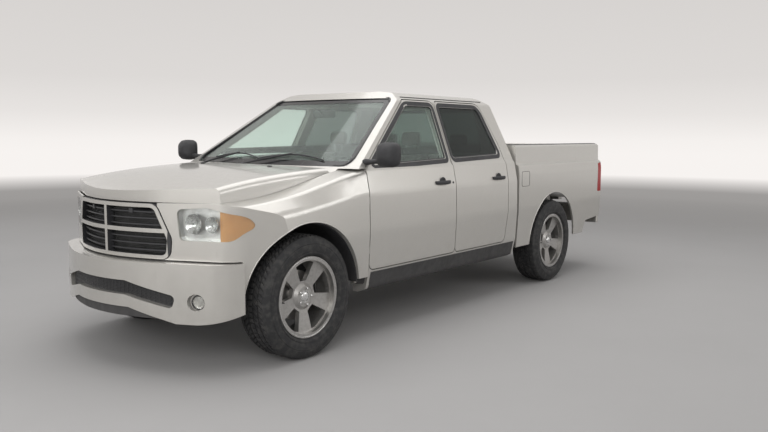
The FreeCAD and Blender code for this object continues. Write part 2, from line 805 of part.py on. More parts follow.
def hood_section(centre, shoulder, edge, x):
    """Hood across the truck at one station: crowned top and short upright sides."""
    half = float(hood_half)
    t = float(d.hood_thickness)
    points = [
        (half, edge), (half - 4, shoulder, 45), (0, centre, 14000), (-half + 4, shoulder, 45), (-half, edge),
        (-half + t, edge), (-half + t + 4, shoulder - t, 24), (0, centre - t, 14000),
        (half - t - 4, shoulder - t, 24),
        (half - t, edge),
    ]
    return outline(points, "yz", x)


def hood_stations():
    """Hood's stations: along the truck, then the heights of its centre, shoulders and side edges.

    The side edges hang a little below the fenders' tops, so no light shows between them.
    """
    forms = [
        (0.0, 1284, 1262, 1200),
        (0.268, 1272, 1244, 1158),
        (0.57, 1243, 1206, 1078),
        (0.804, 1200, 1150, 1062),
        (1.005, 1128, 1068, 1010),
    ]
    return [(float(between(d.cab_front, nose_x, share)), centre, shoulder, edge)
            for share, centre, shoulder, edge in forms]


def hood_shape():
    """Raised hood: high centre, sides that stand above the fenders, front edge turned down to the grille."""
    wires = [hood_section(centre, shoulder, edge, x) for x, centre, shoulder, edge in hood_stations()]
    skin = Part.makeLoft(wires, True, False).common(nose_prism(-26, 900, 1500))
    half = float(hood_half)
    filled = []
    for x, centre, shoulder, edge in hood_stations():
        points = [(half, 900), (half - 4, shoulder, 45), (0, centre, 14000),
                  (-half + 4, shoulder, 45), (-half, 900)]
        filled.append(outline(points, "yz", x))
    lip = nose_shell(-26, -26 - d.hood_thickness, d.grille_top + d.shut_gap, 1400)
    lip = lip.common(Part.makeLoft(filled, True, False)).common(block(2000, 3200, -half, half, 900, 1500))
    x, z, y = d.hood_hinge_x, d.hood_hinge_z, hood_hinge_y
    pads = [block(x - 14, x + 14, y, y + 10, z, z + 34), rod((x, y, z), (x, y + 10, z), 14)]
    pads += [mirrored(pad) for pad in pads]
    return skin.fuse(lip).common(hood_rear_block(0.0)).fuse(pads).removeSplitter()


def hood_rear_block(back):
    """Everything in front of the hood's rear edge, which is bowed like the windscreen."""
    apex = float(d.hood_rear) - float(back)
    bow = float(d.screen_bow)
    half = 1100.0
    edge = apex - (bow - math.sqrt(bow * bow - half * half))
    low, front = 300.0, 4000.0
    wire = Part.Wire([
        Part.Arc(V(edge, -half, low), V(apex, 0, low), V(edge, half, low)).toShape(),
        Part.makeLine(V(edge, half, low), V(front, half, low)),
        Part.makeLine(V(front, half, low), V(front, -half, low)),
        Part.makeLine(V(front, -half, low), V(edge, -half, low)),
    ])
    return Part.Face(wire).extrude(V(0, 0, 1500))


def fender_section(top, shoulder, crease, bottom, x, skin):
    """Left front fender at one station: flat shelf beside the hood, shoulder, side."""
    inner_y = float(hood_half + d.shut_gap)
    half = float(d.half_width)
    (shoulder_y, shoulder_z), (crease_y, crease_z) = shoulder, crease
    outer = [
        (inner_y, top), (shoulder_y, shoulder_z, 40), (crease_y, crease_z, 90),
        (half, float(d.widest_z), 700), (half - 18, bottom),
    ]
    inner = [
        (half - 18 - skin, bottom), (half - skin, float(d.widest_z), 700),
        (crease_y - skin, crease_z - skin / 2, 80), (shoulder_y - skin / 2, shoulder_z - skin, 30),
        (inner_y, top - skin),
    ]
    return outline(outer + inner, "yz", x)


def fender_shape():
    """Left front fender: low shoulder beside the raised hood, wheel opening with a lip."""
    skin = float(d.fender_skin)
    rear = float(d.door_front + d.shut_gap)
    half = float(d.half_width)
    forms = [
        (0.0, 1246, (half - 42, 1240), (half - 8, 1080)),
        (0.201, 1205, (half - 60, 1180), (half - 8, 1042)),
        (0.458, 1116, (half - 84, 1092), (half - 10, 1000)),
        (0.716, 1074, (half - 100, 1050), (half - 14, 968)),
        (0.98, 1062, (half - 120, 1034), (half - 24, 940)),
    ]
    stations = [(float(between(rear, nose_x, share)), top, s, c) for share, top, s, c in forms]
    bottom = 470.0
    grille_side = float(d.grille_half) - 88
    wires = [fender_section(top, s, c, bottom, x, skin) for x, top, s, c in stations]
    shell = Part.makeLoft(wires, True, False)
    nose_out = nose_prism(-4, 300, 1500)
    nose_wall = nose_shell(-4, -4 - skin, bottom, 1300).common(block(2100, 3300, 0, half + 90, bottom, 1300))
    solid_wires = []
    for x, top, shoulder, crease in stations:
        points = [
            (grille_side, top - 2), (float(hood_half + d.shut_gap), top - 1),
            (shoulder[0] - 1, shoulder[1] - 1, 40), (crease[0] - 1, crease[1], 90),
            (half - 1, float(d.widest_z), 700), (half - 19, bottom), (grille_side, bottom),
        ]
        solid_wires.append(outline(points, "yz", x))
    envelope = Part.makeLoft(solid_wires, True, False)
    nose_wall = nose_wall.common(envelope)
    shell = shell.common(nose_out).fuse(nose_wall)
    behind_grille = block(2300, 3300, 0, hood_half - 40, 300, 1060 - skin)
    shell = shell.cut(nose_prism(-40, 300, 1500).common(behind_grille))
    arch_x, arch_z, arch_y = float(front_axle_x), float(axle_z), half - 150
    wheel_opening = Part.makeCylinder(float(d.arch_radius), 600, V(arch_x, 500, arch_z), V(0, 1, 0))
    below_arch = block(front_axle_x - d.arch_radius, front_axle_x + d.arch_radius, 500, half + 90, 300, axle_z)
    lip = Part.makeCylinder(float(d.arch_radius + d.arch_lip), half - arch_y, V(arch_x, arch_y, arch_z), V(0, 1, 0))
    lip = lip.common(envelope).common(nose_out)
    post_face = d.door_front + 3 + d.seat_clearance
    tab_inner = half - d.cab_wall - 2 + d.seat_clearance
    tabs = [block(post_face, rear + 20, tab_inner, half - 8, low, low + 50) for low in (640, 1000)]
    shell = shell.fuse([lip] + tabs).cut([wheel_opening, below_arch])
    shell = shell.cut(lamp_prism(-d.shut_gap / 2)).cut(grille_prism(-d.shut_gap / 2))
    before_arch = block(front_axle_x + d.arch_radius + 1, 3300, 0, half + 90, 300,
                        d.bumper_top + d.shut_gap)
    return largest(shell.cut(before_arch).removeSplitter())


def largest(shape):
    """The main solid of a cut shape, without loose slivers."""
    return max(shape.Solids, key=lambda solid: solid.Volume)


def lamp_outline():
    """Left headlamp seen from the front."""
    half = d.half_width
    return [
        (half - 438, d.lamp_bottom, 26), (half - 454, d.lamp_top - 12, 30), (half - 270, d.lamp_top, 60),
        (half - 92, d.lamp_top - 50, 50), (half - 72, d.lamp_bottom + 84, 50), (half - 138, d.lamp_bottom, 60),
    ]


def lamp_prism(smaller):
    return prism(inset(lamp_outline(), smaller), "yz", front_axle_x + 300, nose_x + 100)


def headlamps_shape():
    """Lamps that wrap round the nose's corners."""
    lamp = nose_shell(-5, -70, 600, 1300).common(lamp_prism(d.seat_clearance - d.shut_gap / 2))
    return Part.makeCompound([lamp, mirrored(lamp)])


def grille_points():
    """Grille's surround seen from the front, wider at its foot."""
    half = d.grille_half
    return both_sides([(half - 10, d.grille_bottom, 60), (half, d.grille_bottom + 130, 90),
                       (half - 94, d.grille_top, 70)])


def grille_prism(smaller):
    return prism(inset(grille_points(), smaller), "yz", front_axle_x + 300, nose_x + 100)


def grille_shape():
    """Surround, upright and level bars, and the thin slats behind them."""
    x0, x1 = front_axle_x + 300, nose_x + 100
    depth = 46
    face = nose_shell(0, -depth, 600, 1300).common(grille_prism(0.0))
    opening = grille_prism(d.grille_rim)
    middle_z = float(d.grille_bottom + d.grille_top) / 2 + 5
    bar_half = float(d.grille_bar) / 2
    upright = block(x0, x1, -bar_half, bar_half, 600, 1200)
    level = block(x0, x1, -700, 700, middle_z - bar_half, middle_z + bar_half)
    frame = face.cut(opening.cut([upright, level]))
    slats = []
    z = float(d.grille_bottom + d.grille_rim) + 22
    while z < float(d.grille_top - d.grille_rim) - 20:
        slats.append(block(x0, x1, -600, 600, z, z + d.slat_thickness))
        z += float(d.slat_pitch)
    comb = nose_shell(-26, -depth, 600, 1300).common(opening).common(Part.makeCompound(slats))
    tabs = [block(panel_x + d.seat_clearance, x1, s * 215 - 15, s * 215 + 15, 998, 1026) for s in (1, -1)]
    tabs = [tab.common(nose_prism(-20, 900, 1100)) for tab in tabs]
    return frame.fuse(comb.Solids + tabs).removeSplitter()


def front_bumper_shape():
    """Bumper that follows the nose, its foot arched, with the air intake and round lamp pockets."""
    wall = float(d.bumper_wall)
    top, low = float(d.bumper_top), float(d.bumper_bottom)
    x0, x1 = float(front_axle_x) + 200, float(nose_x) + 100
    shell = bumper_prism(0, low, top).cut(bumper_prism(-wall, low - 1, top + 1))
    front = block(front_axle_x + d.arch_radius + 8, x1, -d.half_width, d.half_width, low, top)
    shell = shell.common(front)
    intake = both_sides([(0, low + 162), (260, low + 162, 80), (585, low + 92, 30), (606, low + 172, 30),
                         (270, low + 252, 80), (0, low + 252)])
    foot = both_sides([(0, low - 10), (640, low - 10), (610, low), (290, low + 84, 80), (0, low + 84)])
    shell = shell.cut([prism(intake, "yz", x0, x1), prism(foot, "yz", x0, x1)])
    corner = [(x0, 200), (x1, 200), (x1, low - 10), (nose_x - 192, low - 10),
              (nose_x - 462, low + 60), (x0, low + 60)]
    shell = shell.cut(prism(corner, "xz", -WIDE, WIDE))
    shelf = bumper_prism(1 - wall, top - 12, top).cut(nose_prism(-60, top - 13, top + 1)).common(front)
    pocket_floor = bumper_prism(-24, low, top)
    pockets = [rod((x0, s * 730, low + 140), (x1, s * 730, low + 140), 52).cut(pocket_floor)
               for s in (1, -1)]
    middle = float(d.rail_outer_y - d.rail_width / 2)
    seat = frame_front + d.seat_clearance
    brackets = [block(seat, x1, s * middle - 30, s * middle + 30, 480, 600) for s in (1, -1)]
    brackets = [b.common(bumper_prism(2 - wall, low, top)) for b in brackets]
    return shell.cut(pockets).fuse([shelf] + brackets).removeSplitter()


def build_liners():
    """Front wheelhouse liners: a part of a drum with its inner wall, trimmed to the fender's taper."""
    x, z = front_axle_x, axle_z
    inner, wall, outer = d.liner_inner_y, d.liner_wall, d.half_width - 35
    radius = d.arch_radius - d.seat_clearance
    drum = bar("liner_drum", (x, inner, z), (x, outer, z), radius)
    tools = [
        bar("liner_hollow", (x, inner + wall, z), (x, outer + 1, z), radius - wall),
        box("liner_foot", x - 520, x + 520, 0, outer + 1, -200, z + 30),
        box("liner_shaft_room", x - 330, x + 330, 0, inner + wall + 2, -1, 760),
        slab("liner_trim", [(nose_centre - 575, outer - 3), (nose_centre - 340, outer - 87),
                            (nose_centre - 340, outer + 26), (nose_centre - 575, outer + 26)], "xy", 0, 1000),
    ]
    left = without("liner_left", drum, tools)
    keep(group("wheel_liners", [left, reflection("liner_right", left)]), "wheel_liners")


def build_cowl():
    """Panel under the windscreen that carries the wipers, tucked under the hood's rear edge."""
    start = d.cab_front + d.seat_clearance
    half = hood_half - 35
    profile = [(start, 1152), (1660, 1152), (1660, 1168), (1600, 1174), (1440, 1208), (start, 1208)]
    x, z, y = d.hood_hinge_x, d.hood_hinge_z, hood_hinge_y - d.seat_clearance
    parts = [slab("cowl_panel", profile, "xz", -half, half)]
    for side, sign in (("left", 1), ("right", -1)):
        low, high = span(sign, y - 18, y)
        parts.append(box(f"cowl_ear_{side}", x - 8, x + 8, low, high, 1153, z))
        parts.append(bar(f"cowl_pin_{side}", (x, low, z), (x, high, z), 8))
    keep(joined("cowl", parts), "cowl")


def build_radiator():
    """Radiator, and the panel that holds it over the frame's rails."""
    rail_top = d.rail_bottom + 60 + d.rail_height
    front, back = panel_x, panel_x - 54
    middle = d.rail_outer_y - d.rail_width / 2
    sheet_metal = box("radiator_panel", back, front, -560, 560, 640, 1040)
    window = box("radiator_window", back - 1, front + 1, -340, 340, 660, 980)
    parts = [without("radiator_frame", sheet_metal, [window])]
    parts.append(box("radiator_core", back - 71, back + 1, -380, 380, 650, 1000))
    for side, sign in (("left", 1), ("right", -1)):
        low, high = span(sign, middle - 30, middle + 30)
        parts.append(box(f"radiator_foot_{side}", back, front, low, high, rail_top + d.seat_clearance, 641))
    keep(joined("radiator", parts), "radiator")


# Load bed

def bedside_section():
    """Left side wall of the load bed across the truck."""
    skin = d.bed_skin
    floor_low = d.bed_floor_z - d.bed_floor_thickness
    return [
        (d.half_width - 26, 430, 6), (d.half_width - 4, d.widest_z, 700),
        (d.half_width - 6, d.bed_shoulder_z - 60, 300),
        (d.half_width - 18, d.bed_shoulder_z, 22), (bed_rail_y, d.bed_shoulder_z + 16, 16),
        (bed_rail_y - 4, d.bed_rail_z - 18, 20), (bed_rail_y - 26, d.bed_rail_z, 14), (bed_inner_y, d.bed_rail_z, 8),
        (bed_inner_y, floor_low, 0), (d.half_width - 4 - skin, floor_low, 0), (d.half_width - 26 - skin, 430, 6),
    ]


def bedside_shape():
    """Left side wall with its wheel opening and lamp corner."""
    wall = prism(bedside_section(), "yz", bed_end, bed_front)
    centre = V(float(rear_axle_x), 600, float(axle_z))
    opening = Part.makeCylinder(float(d.arch_radius), 600, centre, V(0, 1, 0))
    below = block(rear_axle_x - d.arch_radius, rear_axle_x + d.arch_radius, 600, WIDE, 0, axle_z)
    wall = wall.cut([opening, below])
    rear_corner = [(bed_end - 10, 300), (bed_end + 486, 300), (bed_end + 366, 560, 60), (bed_end - 10, 590)]
    rear_low = prism(rear_corner, "xz", 600, WIDE)
    wall = wall.cut(rear_low)
    lamp = tail_lamp_block(-d.seat_clearance)
    corner_post = block(bed_end, bed_end + 50, bed_inner_y, d.half_width - 12, 770, d.bed_floor_z)
    return wall.fuse(corner_post).cut(lamp).removeSplitter()


def tail_lamp_block(smaller):
    """Left tail lamp in the rear corner of the bed's side."""
    points = [
        (bed_end + 96, 868, 18), (bed_end + 84, d.bed_shoulder_z - 24, 18),
        (bed_end - 6, d.bed_shoulder_z - 10, 4), (bed_end - 6, 868, 4),
    ]
    return prism(inset(points, smaller), "xz", float(rocker_tuck) + 2 + float(smaller), WIDE)


def tail_lamps_shape():
    skin = prism(inset(bedside_section(), 1.0), "yz", bed_end - 2, bed_end + 120)
    lamp = tail_lamp_block(0.0).common(skin)
    return Part.makeCompound([lamp, mirrored(lamp)])


def build_bed_box():
    """Load floor, front wall, wheelhouses and the cross bearers that stand on the frame."""
    top, low = d.bed_floor_z, d.bed_floor_z - d.bed_floor_thickness
    half = bed_inner_y - d.seat_clearance
    rear, front = bed_end + 96, bed_front
    x, z = rear_axle_x, axle_z
    plate = 12
    parts = [
        box("bed_floor", rear, front, -half, half, low, top),
        box("bed_front", front - d.bed_front_wall, front, -half, half, top - 1, d.bed_rail_z - 20),
    ]
    hollows = []
    for side, sign in (("left", 1), ("right", -1)):
        y0, y1 = span(sign, d.wheelhouse_y, half)
        parts.append(bar(f"wheelhouse_{side}", (x, y0, z), (x, y1, z), d.wheelhouse_radius))
        y0, y1 = span(sign, d.wheelhouse_y + plate, half + 5)
        hollows.append(bar(f"wheelhouse_hollow_{side}", (x, y0, z), (x, y1, z), d.wheelhouse_radius - plate))
    rail_top = d.rail_bottom + d.rail_kick + d.rail_height
    under = box("bed_underside", rear - 200, front + 200, -1000, 1000, -200, low)
    body = without("bed_body", joined("bed_whole", parts), [under] + hollows)
    bearers = [
        box(f"bed_bearer_{number}", place - 40, place + 40, -600, 600, rail_top + d.seat_clearance, low + 1)
        for number, place in enumerate((x + 192, x - 328, x - 668, x - 968), start=1)
    ]
    keep(joined("bed_box", [body] + bearers), "bed_box")


def tailgate_shape():
    """Tailgate with its upper spoiler edge and the pressed inner face."""
    x0 = bed_end
    x1 = bed_end + d.tailgate_thickness
    profile = [
        (x0 + 6, d.tailgate_bottom, 8), (x1 - 8, d.tailgate_bottom, 6), (x1, d.tailgate_bottom + 30, 10),
        (x1, d.bed_rail_z - 4, 12), (x0 + 4, d.bed_rail_z - 4, 12), (x0, d.bed_rail_z - 60, 10),
        (x0 + 10, d.bed_rail_z - 90, 12), (x0 + 2, d.bed_shoulder_z - 80, 40),
    ]
    gate = prism(profile, "xz", -(bed_inner_y - d.shut_gap), bed_inner_y - d.shut_gap)
    cup = block(x0 - 5, x0 + 26, -95, 95, d.bed_rail_z - 170, d.bed_rail_z - 100)
    axis_x = bed_end + d.tailgate_hinge_inset
    reach = bed_inner_y - d.seat_clearance
    pin = rod((axis_x, -reach, d.tailgate_hinge_z), (axis_x, reach, d.tailgate_hinge_z), 10)
    return gate.cut(cup).fuse(pin).removeSplitter()


def rear_bumper_shape():
    """Step bumper with a lowered middle for the tow ball."""
    x0, x1 = tail_x, bed_end - 6
    half = d.half_width
    left = [(x0, half - 310, 60), (x0 + 30, half - 110, 60), (x1 - 40, half - 25, 30), (x1, half - 50, 10)]
    plan = left + [(x, -y, r) for x, y, r in reversed(left)]
    body = prism(plan, "xy", d.rear_bumper_bottom, d.rear_bumper_top)
    hollow = prism(inset(plan, 10), "xy", d.rear_bumper_bottom - 1, d.rear_bumper_top - d.step_plate)
    hollow = hollow.cut(block(x0, x1, -1000, 1000, 0, 1))
    body = body.cut(hollow)
    hole_foot = V(float(x0) + 52, 0, float(d.rear_bumper_top) - 40)
    hole = Part.makeCylinder(float(d.ball_hole_radius), 60, hole_foot, V(0, 0, 1))
    middle = float(d.rail_outer_y - d.rail_width / 2)
    seat = frame_rear - d.seat_clearance
    brackets = [block(x1 - 20, seat, s * middle - 30, s * middle + 30, 610, 680) for s in (1, -1)]
    return body.cut(hole).fuse(brackets).removeSplitter()


# Running gear

def polygon(body, name, role, corners):
    """A sketch of straight lines on one of a body's planes."""
    drawing = body.newObject("Sketcher::SketchObject", name)
    origin_plane = next(f for f in body.Origin.OriginFeatures if f.Role == role)
    drawing.AttachmentSupport = [(origin_plane, "")]
    drawing.MapMode = "FlatFace"
    return drawn(drawing, corners)


def revolved(body, name, drawing, axis):
    """A full turn of a sketch about one of its own axes."""
    turn = body.newObject("PartDesign::Revolution", name)
    turn.Profile = drawing
    turn.ReferenceAxis = (drawing, [axis])
    turn.Angle = 360
    return turn


def tyre_profile():
    """Section of a tyre: tread, shoulders and sidewalls; across is the tyre's axis."""
    half = d.tyre_width / 2
    tread = d.tread_width / 2
    shoulder = d.tyre_radius - 30
    return [
        (-(d.rim_width / 2 - 8.5), d.bead_radius),
        (-(d.rim_width / 2 - 8.5), d.flange_radius + 2),
        (-half, (d.bead_radius + d.tyre_radius) / 2),
        (-(tread + 4), shoulder + 18),
        (-(tread - 16), d.tyre_radius),
        (tread - 16, d.tyre_radius),
        (tread + 4, shoulder + 18),
        (half, (d.bead_radius + d.tyre_radius) / 2),
        (d.rim_width / 2 - 8.5, d.flange_radius + 2),
        (d.rim_width / 2 - 8.5, d.bead_radius),
    ]


def tyre(name, x, y):
    """A tyre turned about its axle."""
    body = doc.addObject("PartDesign::Body", name)
    drawing = polygon(body, f"{name}_section", "YZ_Plane", tyre_profile())
    revolved(body, f"{name}_turn", drawing, "H_Axis")
    return keep(body, name, x, y, axle_z)


def rim_profile():
    """Section of a wheel: lips, barrel, spokes' disc, hub and brake disc; across is the axle's line."""
    half = d.rim_width / 2
    wall = d.rim_wall
    seat = d.bead_radius - 0.3
    back = d.wheel_face - d.spoke_depth
    hub_end = -(d.disc_inset)
    return [
        (-half, d.flange_radius), (-(half - 8), d.flange_radius), (-(half - 8), seat),
        (half - 8, seat), (half - 8, d.flange_radius), (half, d.flange_radius),
        (half, seat - wall), (d.wheel_face - 6, seat - wall), (d.wheel_face - 24, d.hub_radius + 12),
        (d.wheel_face - 6, d.hub_radius - 10), (d.wheel_face - 6, 0), (hub_end, 0), (hub_end, d.disc_radius),
        (hub_end + d.disc_thickness, d.disc_radius), (hub_end + d.disc_thickness, d.hub_radius + 6),
        (d.wheel_offset, d.hub_radius + 6), (back - 8, d.hub_radius + 8), (back + 8, seat - wall),
        (-half, seat - wall),
    ]


def wheel(name, x, y, turn):
    """A rim with its spokes, hub and brake disc."""
    body = doc.addObject("PartDesign::Body", name)
    drawing = polygon(body, f"{name}_section", "YZ_Plane", rim_profile())
    revolved(body, f"{name}_turn", drawing, "H_Axis")
    doc.recompute()
    solid_volume = body.Shape.Volume
    reach = d.bead_radius - d.rim_wall - 12
    start = d.hub_radius + 26
    half_angle = math.radians(float(d.spoke_gap_angle) / 2)
    narrow, wide = math.tan(half_angle) * 0.62, math.tan(half_angle) * 0.86
    window = polygon(body, f"{name}_window", "XZ_Plane", [
        (-narrow * start, start), (narrow * start, start), (wide * reach * 0.94, reach * 0.94),
        (wide * reach * 0.6, reach), (-wide * reach * 0.6, reach), (-wide * reach * 0.94, reach * 0.94),
    ])
    cut = body.newObject("PartDesign::Pocket", f"{name}_cut")
    cut.Profile = window
    cut.Type = 0
    cut.Length = float(d.rim_width) / 2
    bind(cut, "Length", d.rim_width / 2)
    cut.Reversed = False
    doc.recompute()
    if body.Shape.Volume > solid_volume - 1000:
        cut.Reversed = True
        doc.recompute()
    ring = body.newObject("PartDesign::PolarPattern", f"{name}_ring")
    ring.Originals = [cut]
    ring.Axis = (window, ["N_Axis"])
    ring.Angle = 360
    ring.Occurrences = int(float(d.spoke_count))
    bind(ring, "Occurrences", d.spoke_count)
    body.Tip = ring
    doc.recompute()
    return keep(body, name, x, y, axle_z, turn)


def build_frame():
    """Ladder frame: two box rails that rise over the rear axle, and their cross-members."""
    low, tall, kick = d.rail_bottom, d.rail_height, d.rail_kick
    nose, tail, axle = frame_front, frame_rear, rear_axle_x
    side = [
        (nose, low + 60), (nose, low + 60 + tall), (nose - 260, low + 60 + tall), (nose - 440, low + tall),
        (axle + 752, low + tall), (axle + 392, low + tall + kick), (tail, low + tall + kick), (tail, low + kick),
        (axle + 332, low + kick), (axle + 672, low), (nose - 400, low), (nose - 220, low + 60),
    ]
    outer, width = d.rail_outer_y, d.rail_width
    pad_low, pad_high = low + tall - 2, d.cab_floor_z - d.cab_floor_thickness - d.seat_clearance
    middle = outer - width / 2
    parts = [slab("rail_bar", side, "xz", outer - width, outer)]
    for number, x in enumerate((1100, 200, -680), start=1):
        parts.append(bar(f"cab_mount_{number}", (x, middle, pad_low), (x, middle, pad_high), 34))
    left = joined("rail_left", parts)
    inner = outer - width - d.seat_clearance
    spare_member = box("spare_member", spare_x - 30, spare_x + 30, -inner, inner, low + kick + 10, low + kick + 80)
    winch = bar("spare_winch", (spare_x, 0, d.spare_top + d.seat_clearance), (spare_x, 0, low + kick + 20), 45)

    def member(name, x0, x1, z0, z1):
        return box(f"member_{name}", x0, x1, -inner, inner, z0, z1)

    members = [
        member("front", nose - 120, nose - 40, low + 80, low + 200),
        box("member_arms", front_axle_x - 110, front_axle_x + 110, -outer, outer, d.lower_arm_z - 10,
            low - d.seat_clearance),
        member("gearbox", 560, 660, low - 20, low + 40),
        member("cab", -560, -480, low - 15, low + 25),
        member("before_axle", axle + 302, axle + 372, low + kick + 70, low + kick + 140),
        member("behind_axle", axle - 348, axle - 268, low + kick + 50, low + kick + 130),
        joined("member_spare", [spare_member, winch]),
        member("tail", tail + 10, tail + 80, low + kick, low + kick + 120),
    ]
    keep(group("frame", [left, reflection("rail_right", left)] + members), "frame")


def build_rear_axle():
    """Rear axle: tubes, differential housing and end flanges."""
    x, z = rear_axle_x, axle_z
    end = wheel_y - d.disc_inset - d.seat_clearance
    parts = [
        bar("axle_tube", (x, -end, z), (x, end, z), d.axle_tube_radius),
        ball("differential", (x, 0, z), d.differential_radius),
        cone("differential_nose", (x + 60, 0, z), 105, 60, 230, ALONG[0]),
    ]
    for side, sign in (("left", 1), ("right", -1)):
        low, high = span(sign, end - 24, end)
        parts.append(bar(f"axle_flange_{side}", (x, low, z), (x, high, z), d.hub_radius))
    keep(joined("rear_axle", parts), "rear_axle")


def build_driveshaft():
    """Propeller shaft with a level yoke at each end."""
    rear_x = rear_axle_x + 290 + d.seat_clearance
    front_x = 600 - d.seat_clearance
    parts = [
        bar("shaft_tube", (rear_x + 25, 0, axle_z), (front_x - 25, 0, 560), 38),
        bar("shaft_rear_yoke", (rear_x, 0, axle_z), (rear_x + 50, 0, axle_z), 44),
        bar("shaft_front_yoke", (front_x - 50, 0, 560), (front_x, 0, 560), 44),
    ]
    keep(joined("driveshaft", parts), "driveshaft")


def build_leaf_springs():
    """Leaf springs with their front hangers and rear shackles."""
    x, z = rear_axle_x, axle_z + d.axle_tube_radius + d.seat_clearance
    leaf = [
        (x + 700, z + 72), (x + 700, z + 94), (x + 500, z + 62), (x + 250, z + 44), (x, z + 40), (x - 250, z + 44),
        (x - 500, z + 62), (x - 700, z + 94), (x - 700, z + 72), (x - 500, z + 40), (x - 250, z + 8), (x - 60, z),
        (x + 60, z), (x + 250, z + 8), (x + 500, z + 40),
    ]
    y0, y1 = d.spring_y - d.spring_width / 2, d.spring_y + d.spring_width / 2
    rail_side = d.rail_outer_y + d.seat_clearance
    left = joined("spring_left", [
        slab("spring_leaves", leaf, "xz", y0, y1),
        box("spring_hanger", x + 640, x + 700, rail_side, y1, z + 60, z + 150),
        box("spring_shackle", x - 700, x - 640, rail_side, y1, z + 60, z + 240),
    ])
    keep(group("leaf_springs", [left, reflection("spring_right", left)]), "leaf_springs")


def build_front_suspension():
    """Front arms, forked towards the rails, and the dampers up to their towers on the rails."""
    x, pin = front_axle_x, wheel_y - d.kingpin_inset
    start = d.rail_outer_y + d.seat_clearance
    lower = slab("lower_arm", [
        (x + 120, start), (x + 120, start + 60), (x + 36, pin + 10), (x + 20, pin + 20), (x - 20, pin + 20),
        (x - 36, pin + 10), (x - 120, start + 60), (x - 120, start), (x - 60, start), (x - 20, pin - 70),
        (x + 20, pin - 70), (x + 60, start),
    ], "xy", d.lower_arm_z, d.lower_arm_z + d.arm_thickness)
    upper = slab("upper_arm", [
        (x + 110, start), (x + 110, start + 40), (x + 30, pin + 8), (x + 16, pin + 18), (x - 16, pin + 18),
        (x - 30, pin + 8), (x - 110, start + 40), (x - 110, start), (x - 72, start), (x - 52, start + 200),
        (x + 52, start + 200), (x + 72, start),
    ], "xy", d.upper_arm_z, d.upper_arm_z + d.arm_thickness * 0.7)
    rail_top = d.rail_bottom + d.rail_height + d.seat_clearance
    y, rail_y = pin - 190, d.rail_outer_y - 44
    base = d.lower_arm_z + d.arm_thickness + d.seat_clearance
    damper = joined("damper", [
        bar("damper_tube", (x, y, base), (x, y, 740), 34),
        bar("coil_foot", (x, y, base + 120), (x, y, base + 136), 58),
        box("damper_tower", x - 60, x + 60, rail_y, y + 60, 726, 742),
        box("damper_leg", x - 60, x + 60, rail_y, rail_y + 16, rail_top, 741),
    ])
    arms = [lower, upper, damper]
    others = [reflection(f"{arm.Name}_right", arm) for arm in arms]
    keep(group("front_suspension", arms + others), "front_suspension")


def build_knuckles():
    """Steering knuckles between the arms, with their spindles, ball joints and steering arms."""
    x, z, pin = front_axle_x, axle_z, wheel_y - d.kingpin_inset
    low = d.lower_arm_z + d.arm_thickness + d.seat_clearance
    high = d.upper_arm_z - d.seat_clearance
    face = wheel_y - d.disc_inset - d.seat_clearance
    parts = [
        box("knuckle_upright", x - 28, x + 28, pin - 22, pin + 22, low + 10, high - 10),
        bar("lower_ball_joint", (x, pin, low), (x, pin, low + 24), 30),
        bar("upper_ball_joint", (x, pin, high - 20), (x, pin, high), 26),
        bar("spindle", (x, pin, z), (x, face, z), 60),
        slab("steering_arm", [(x + 10, pin - 20), (x + 10, pin + 20), (x - 130, pin - 6), (x - 130, pin - 34)],
             "xy", z - 60, z - 36),
    ]
    left = keep(joined("knuckle_left", parts), "knuckle_left")
    keep(reflection("knuckle_right", left), "knuckle_right")


# Inside and underneath

def build_engine():
    """Engine and gearbox as one plain block on its mounts."""
    section = [(-170, 442), (170, 442), (190, 640), (310, 890), (290, 940), (220, 1030), (-220, 1030),
               (-290, 940), (-310, 890), (-190, 640)]
    rail = d.rail_outer_y - d.rail_width - d.seat_clearance
    parts = [
        slab("engine_block", section, "yz", 1420, 2160),
        cone("gearbox", (1420, 0, 560), 130, 75, 820, FreeCAD.Rotation(V(0, 1, 0), -90)),
        box("gearbox_mount", 600, 660, -60, 60, d.rail_bottom + 40 + d.seat_clearance, 520),
    ]
    for side, sign in (("left", 1), ("right", -1)):
        low, high = span(sign, 150, rail)
        parts.append(box(f"engine_mount_{side}", 1740, 1820, low, high, 480, 540))
    keep(joined("engine", parts), "engine")


def column_frame():
    """Steering wheel's centre, the direction down the column and the turn that lays +Z along it."""
    rake = float(d.column_rake)
    along = V(math.cos(math.radians(rake)), 0, -math.sin(math.radians(rake)))
    centre = (d.steering_wheel_x, d.steering_wheel_y, d.steering_wheel_z)
    return centre, along, FreeCAD.Rotation(V(0, 1, 0), 90 + rake)


def build_dashboard():
    """Dashboard across the cab, with the steering column."""
    centre, along, turn = column_frame()
    start = [float(c) + a * 40.3 for c, a in zip(centre, along)]
    column = seat_at(add("Part::Cylinder", "steering_column", Radius=38, Height=260), *start, turn)
    front = 1321.7
    profile = [
        (front, 905), (front, 1170), (1290, 1192), (1130, 1204), (1060, 1192), (1002, 1150), (984, 1080), (990, 1000),
        (1040, 890), (1070, 862),
    ]
    half = cab_inner_y - 2
    panel = slab("dash_panel", profile, "xz", -half, half)
    keep(joined("dashboard", [panel, column]), "dashboard")


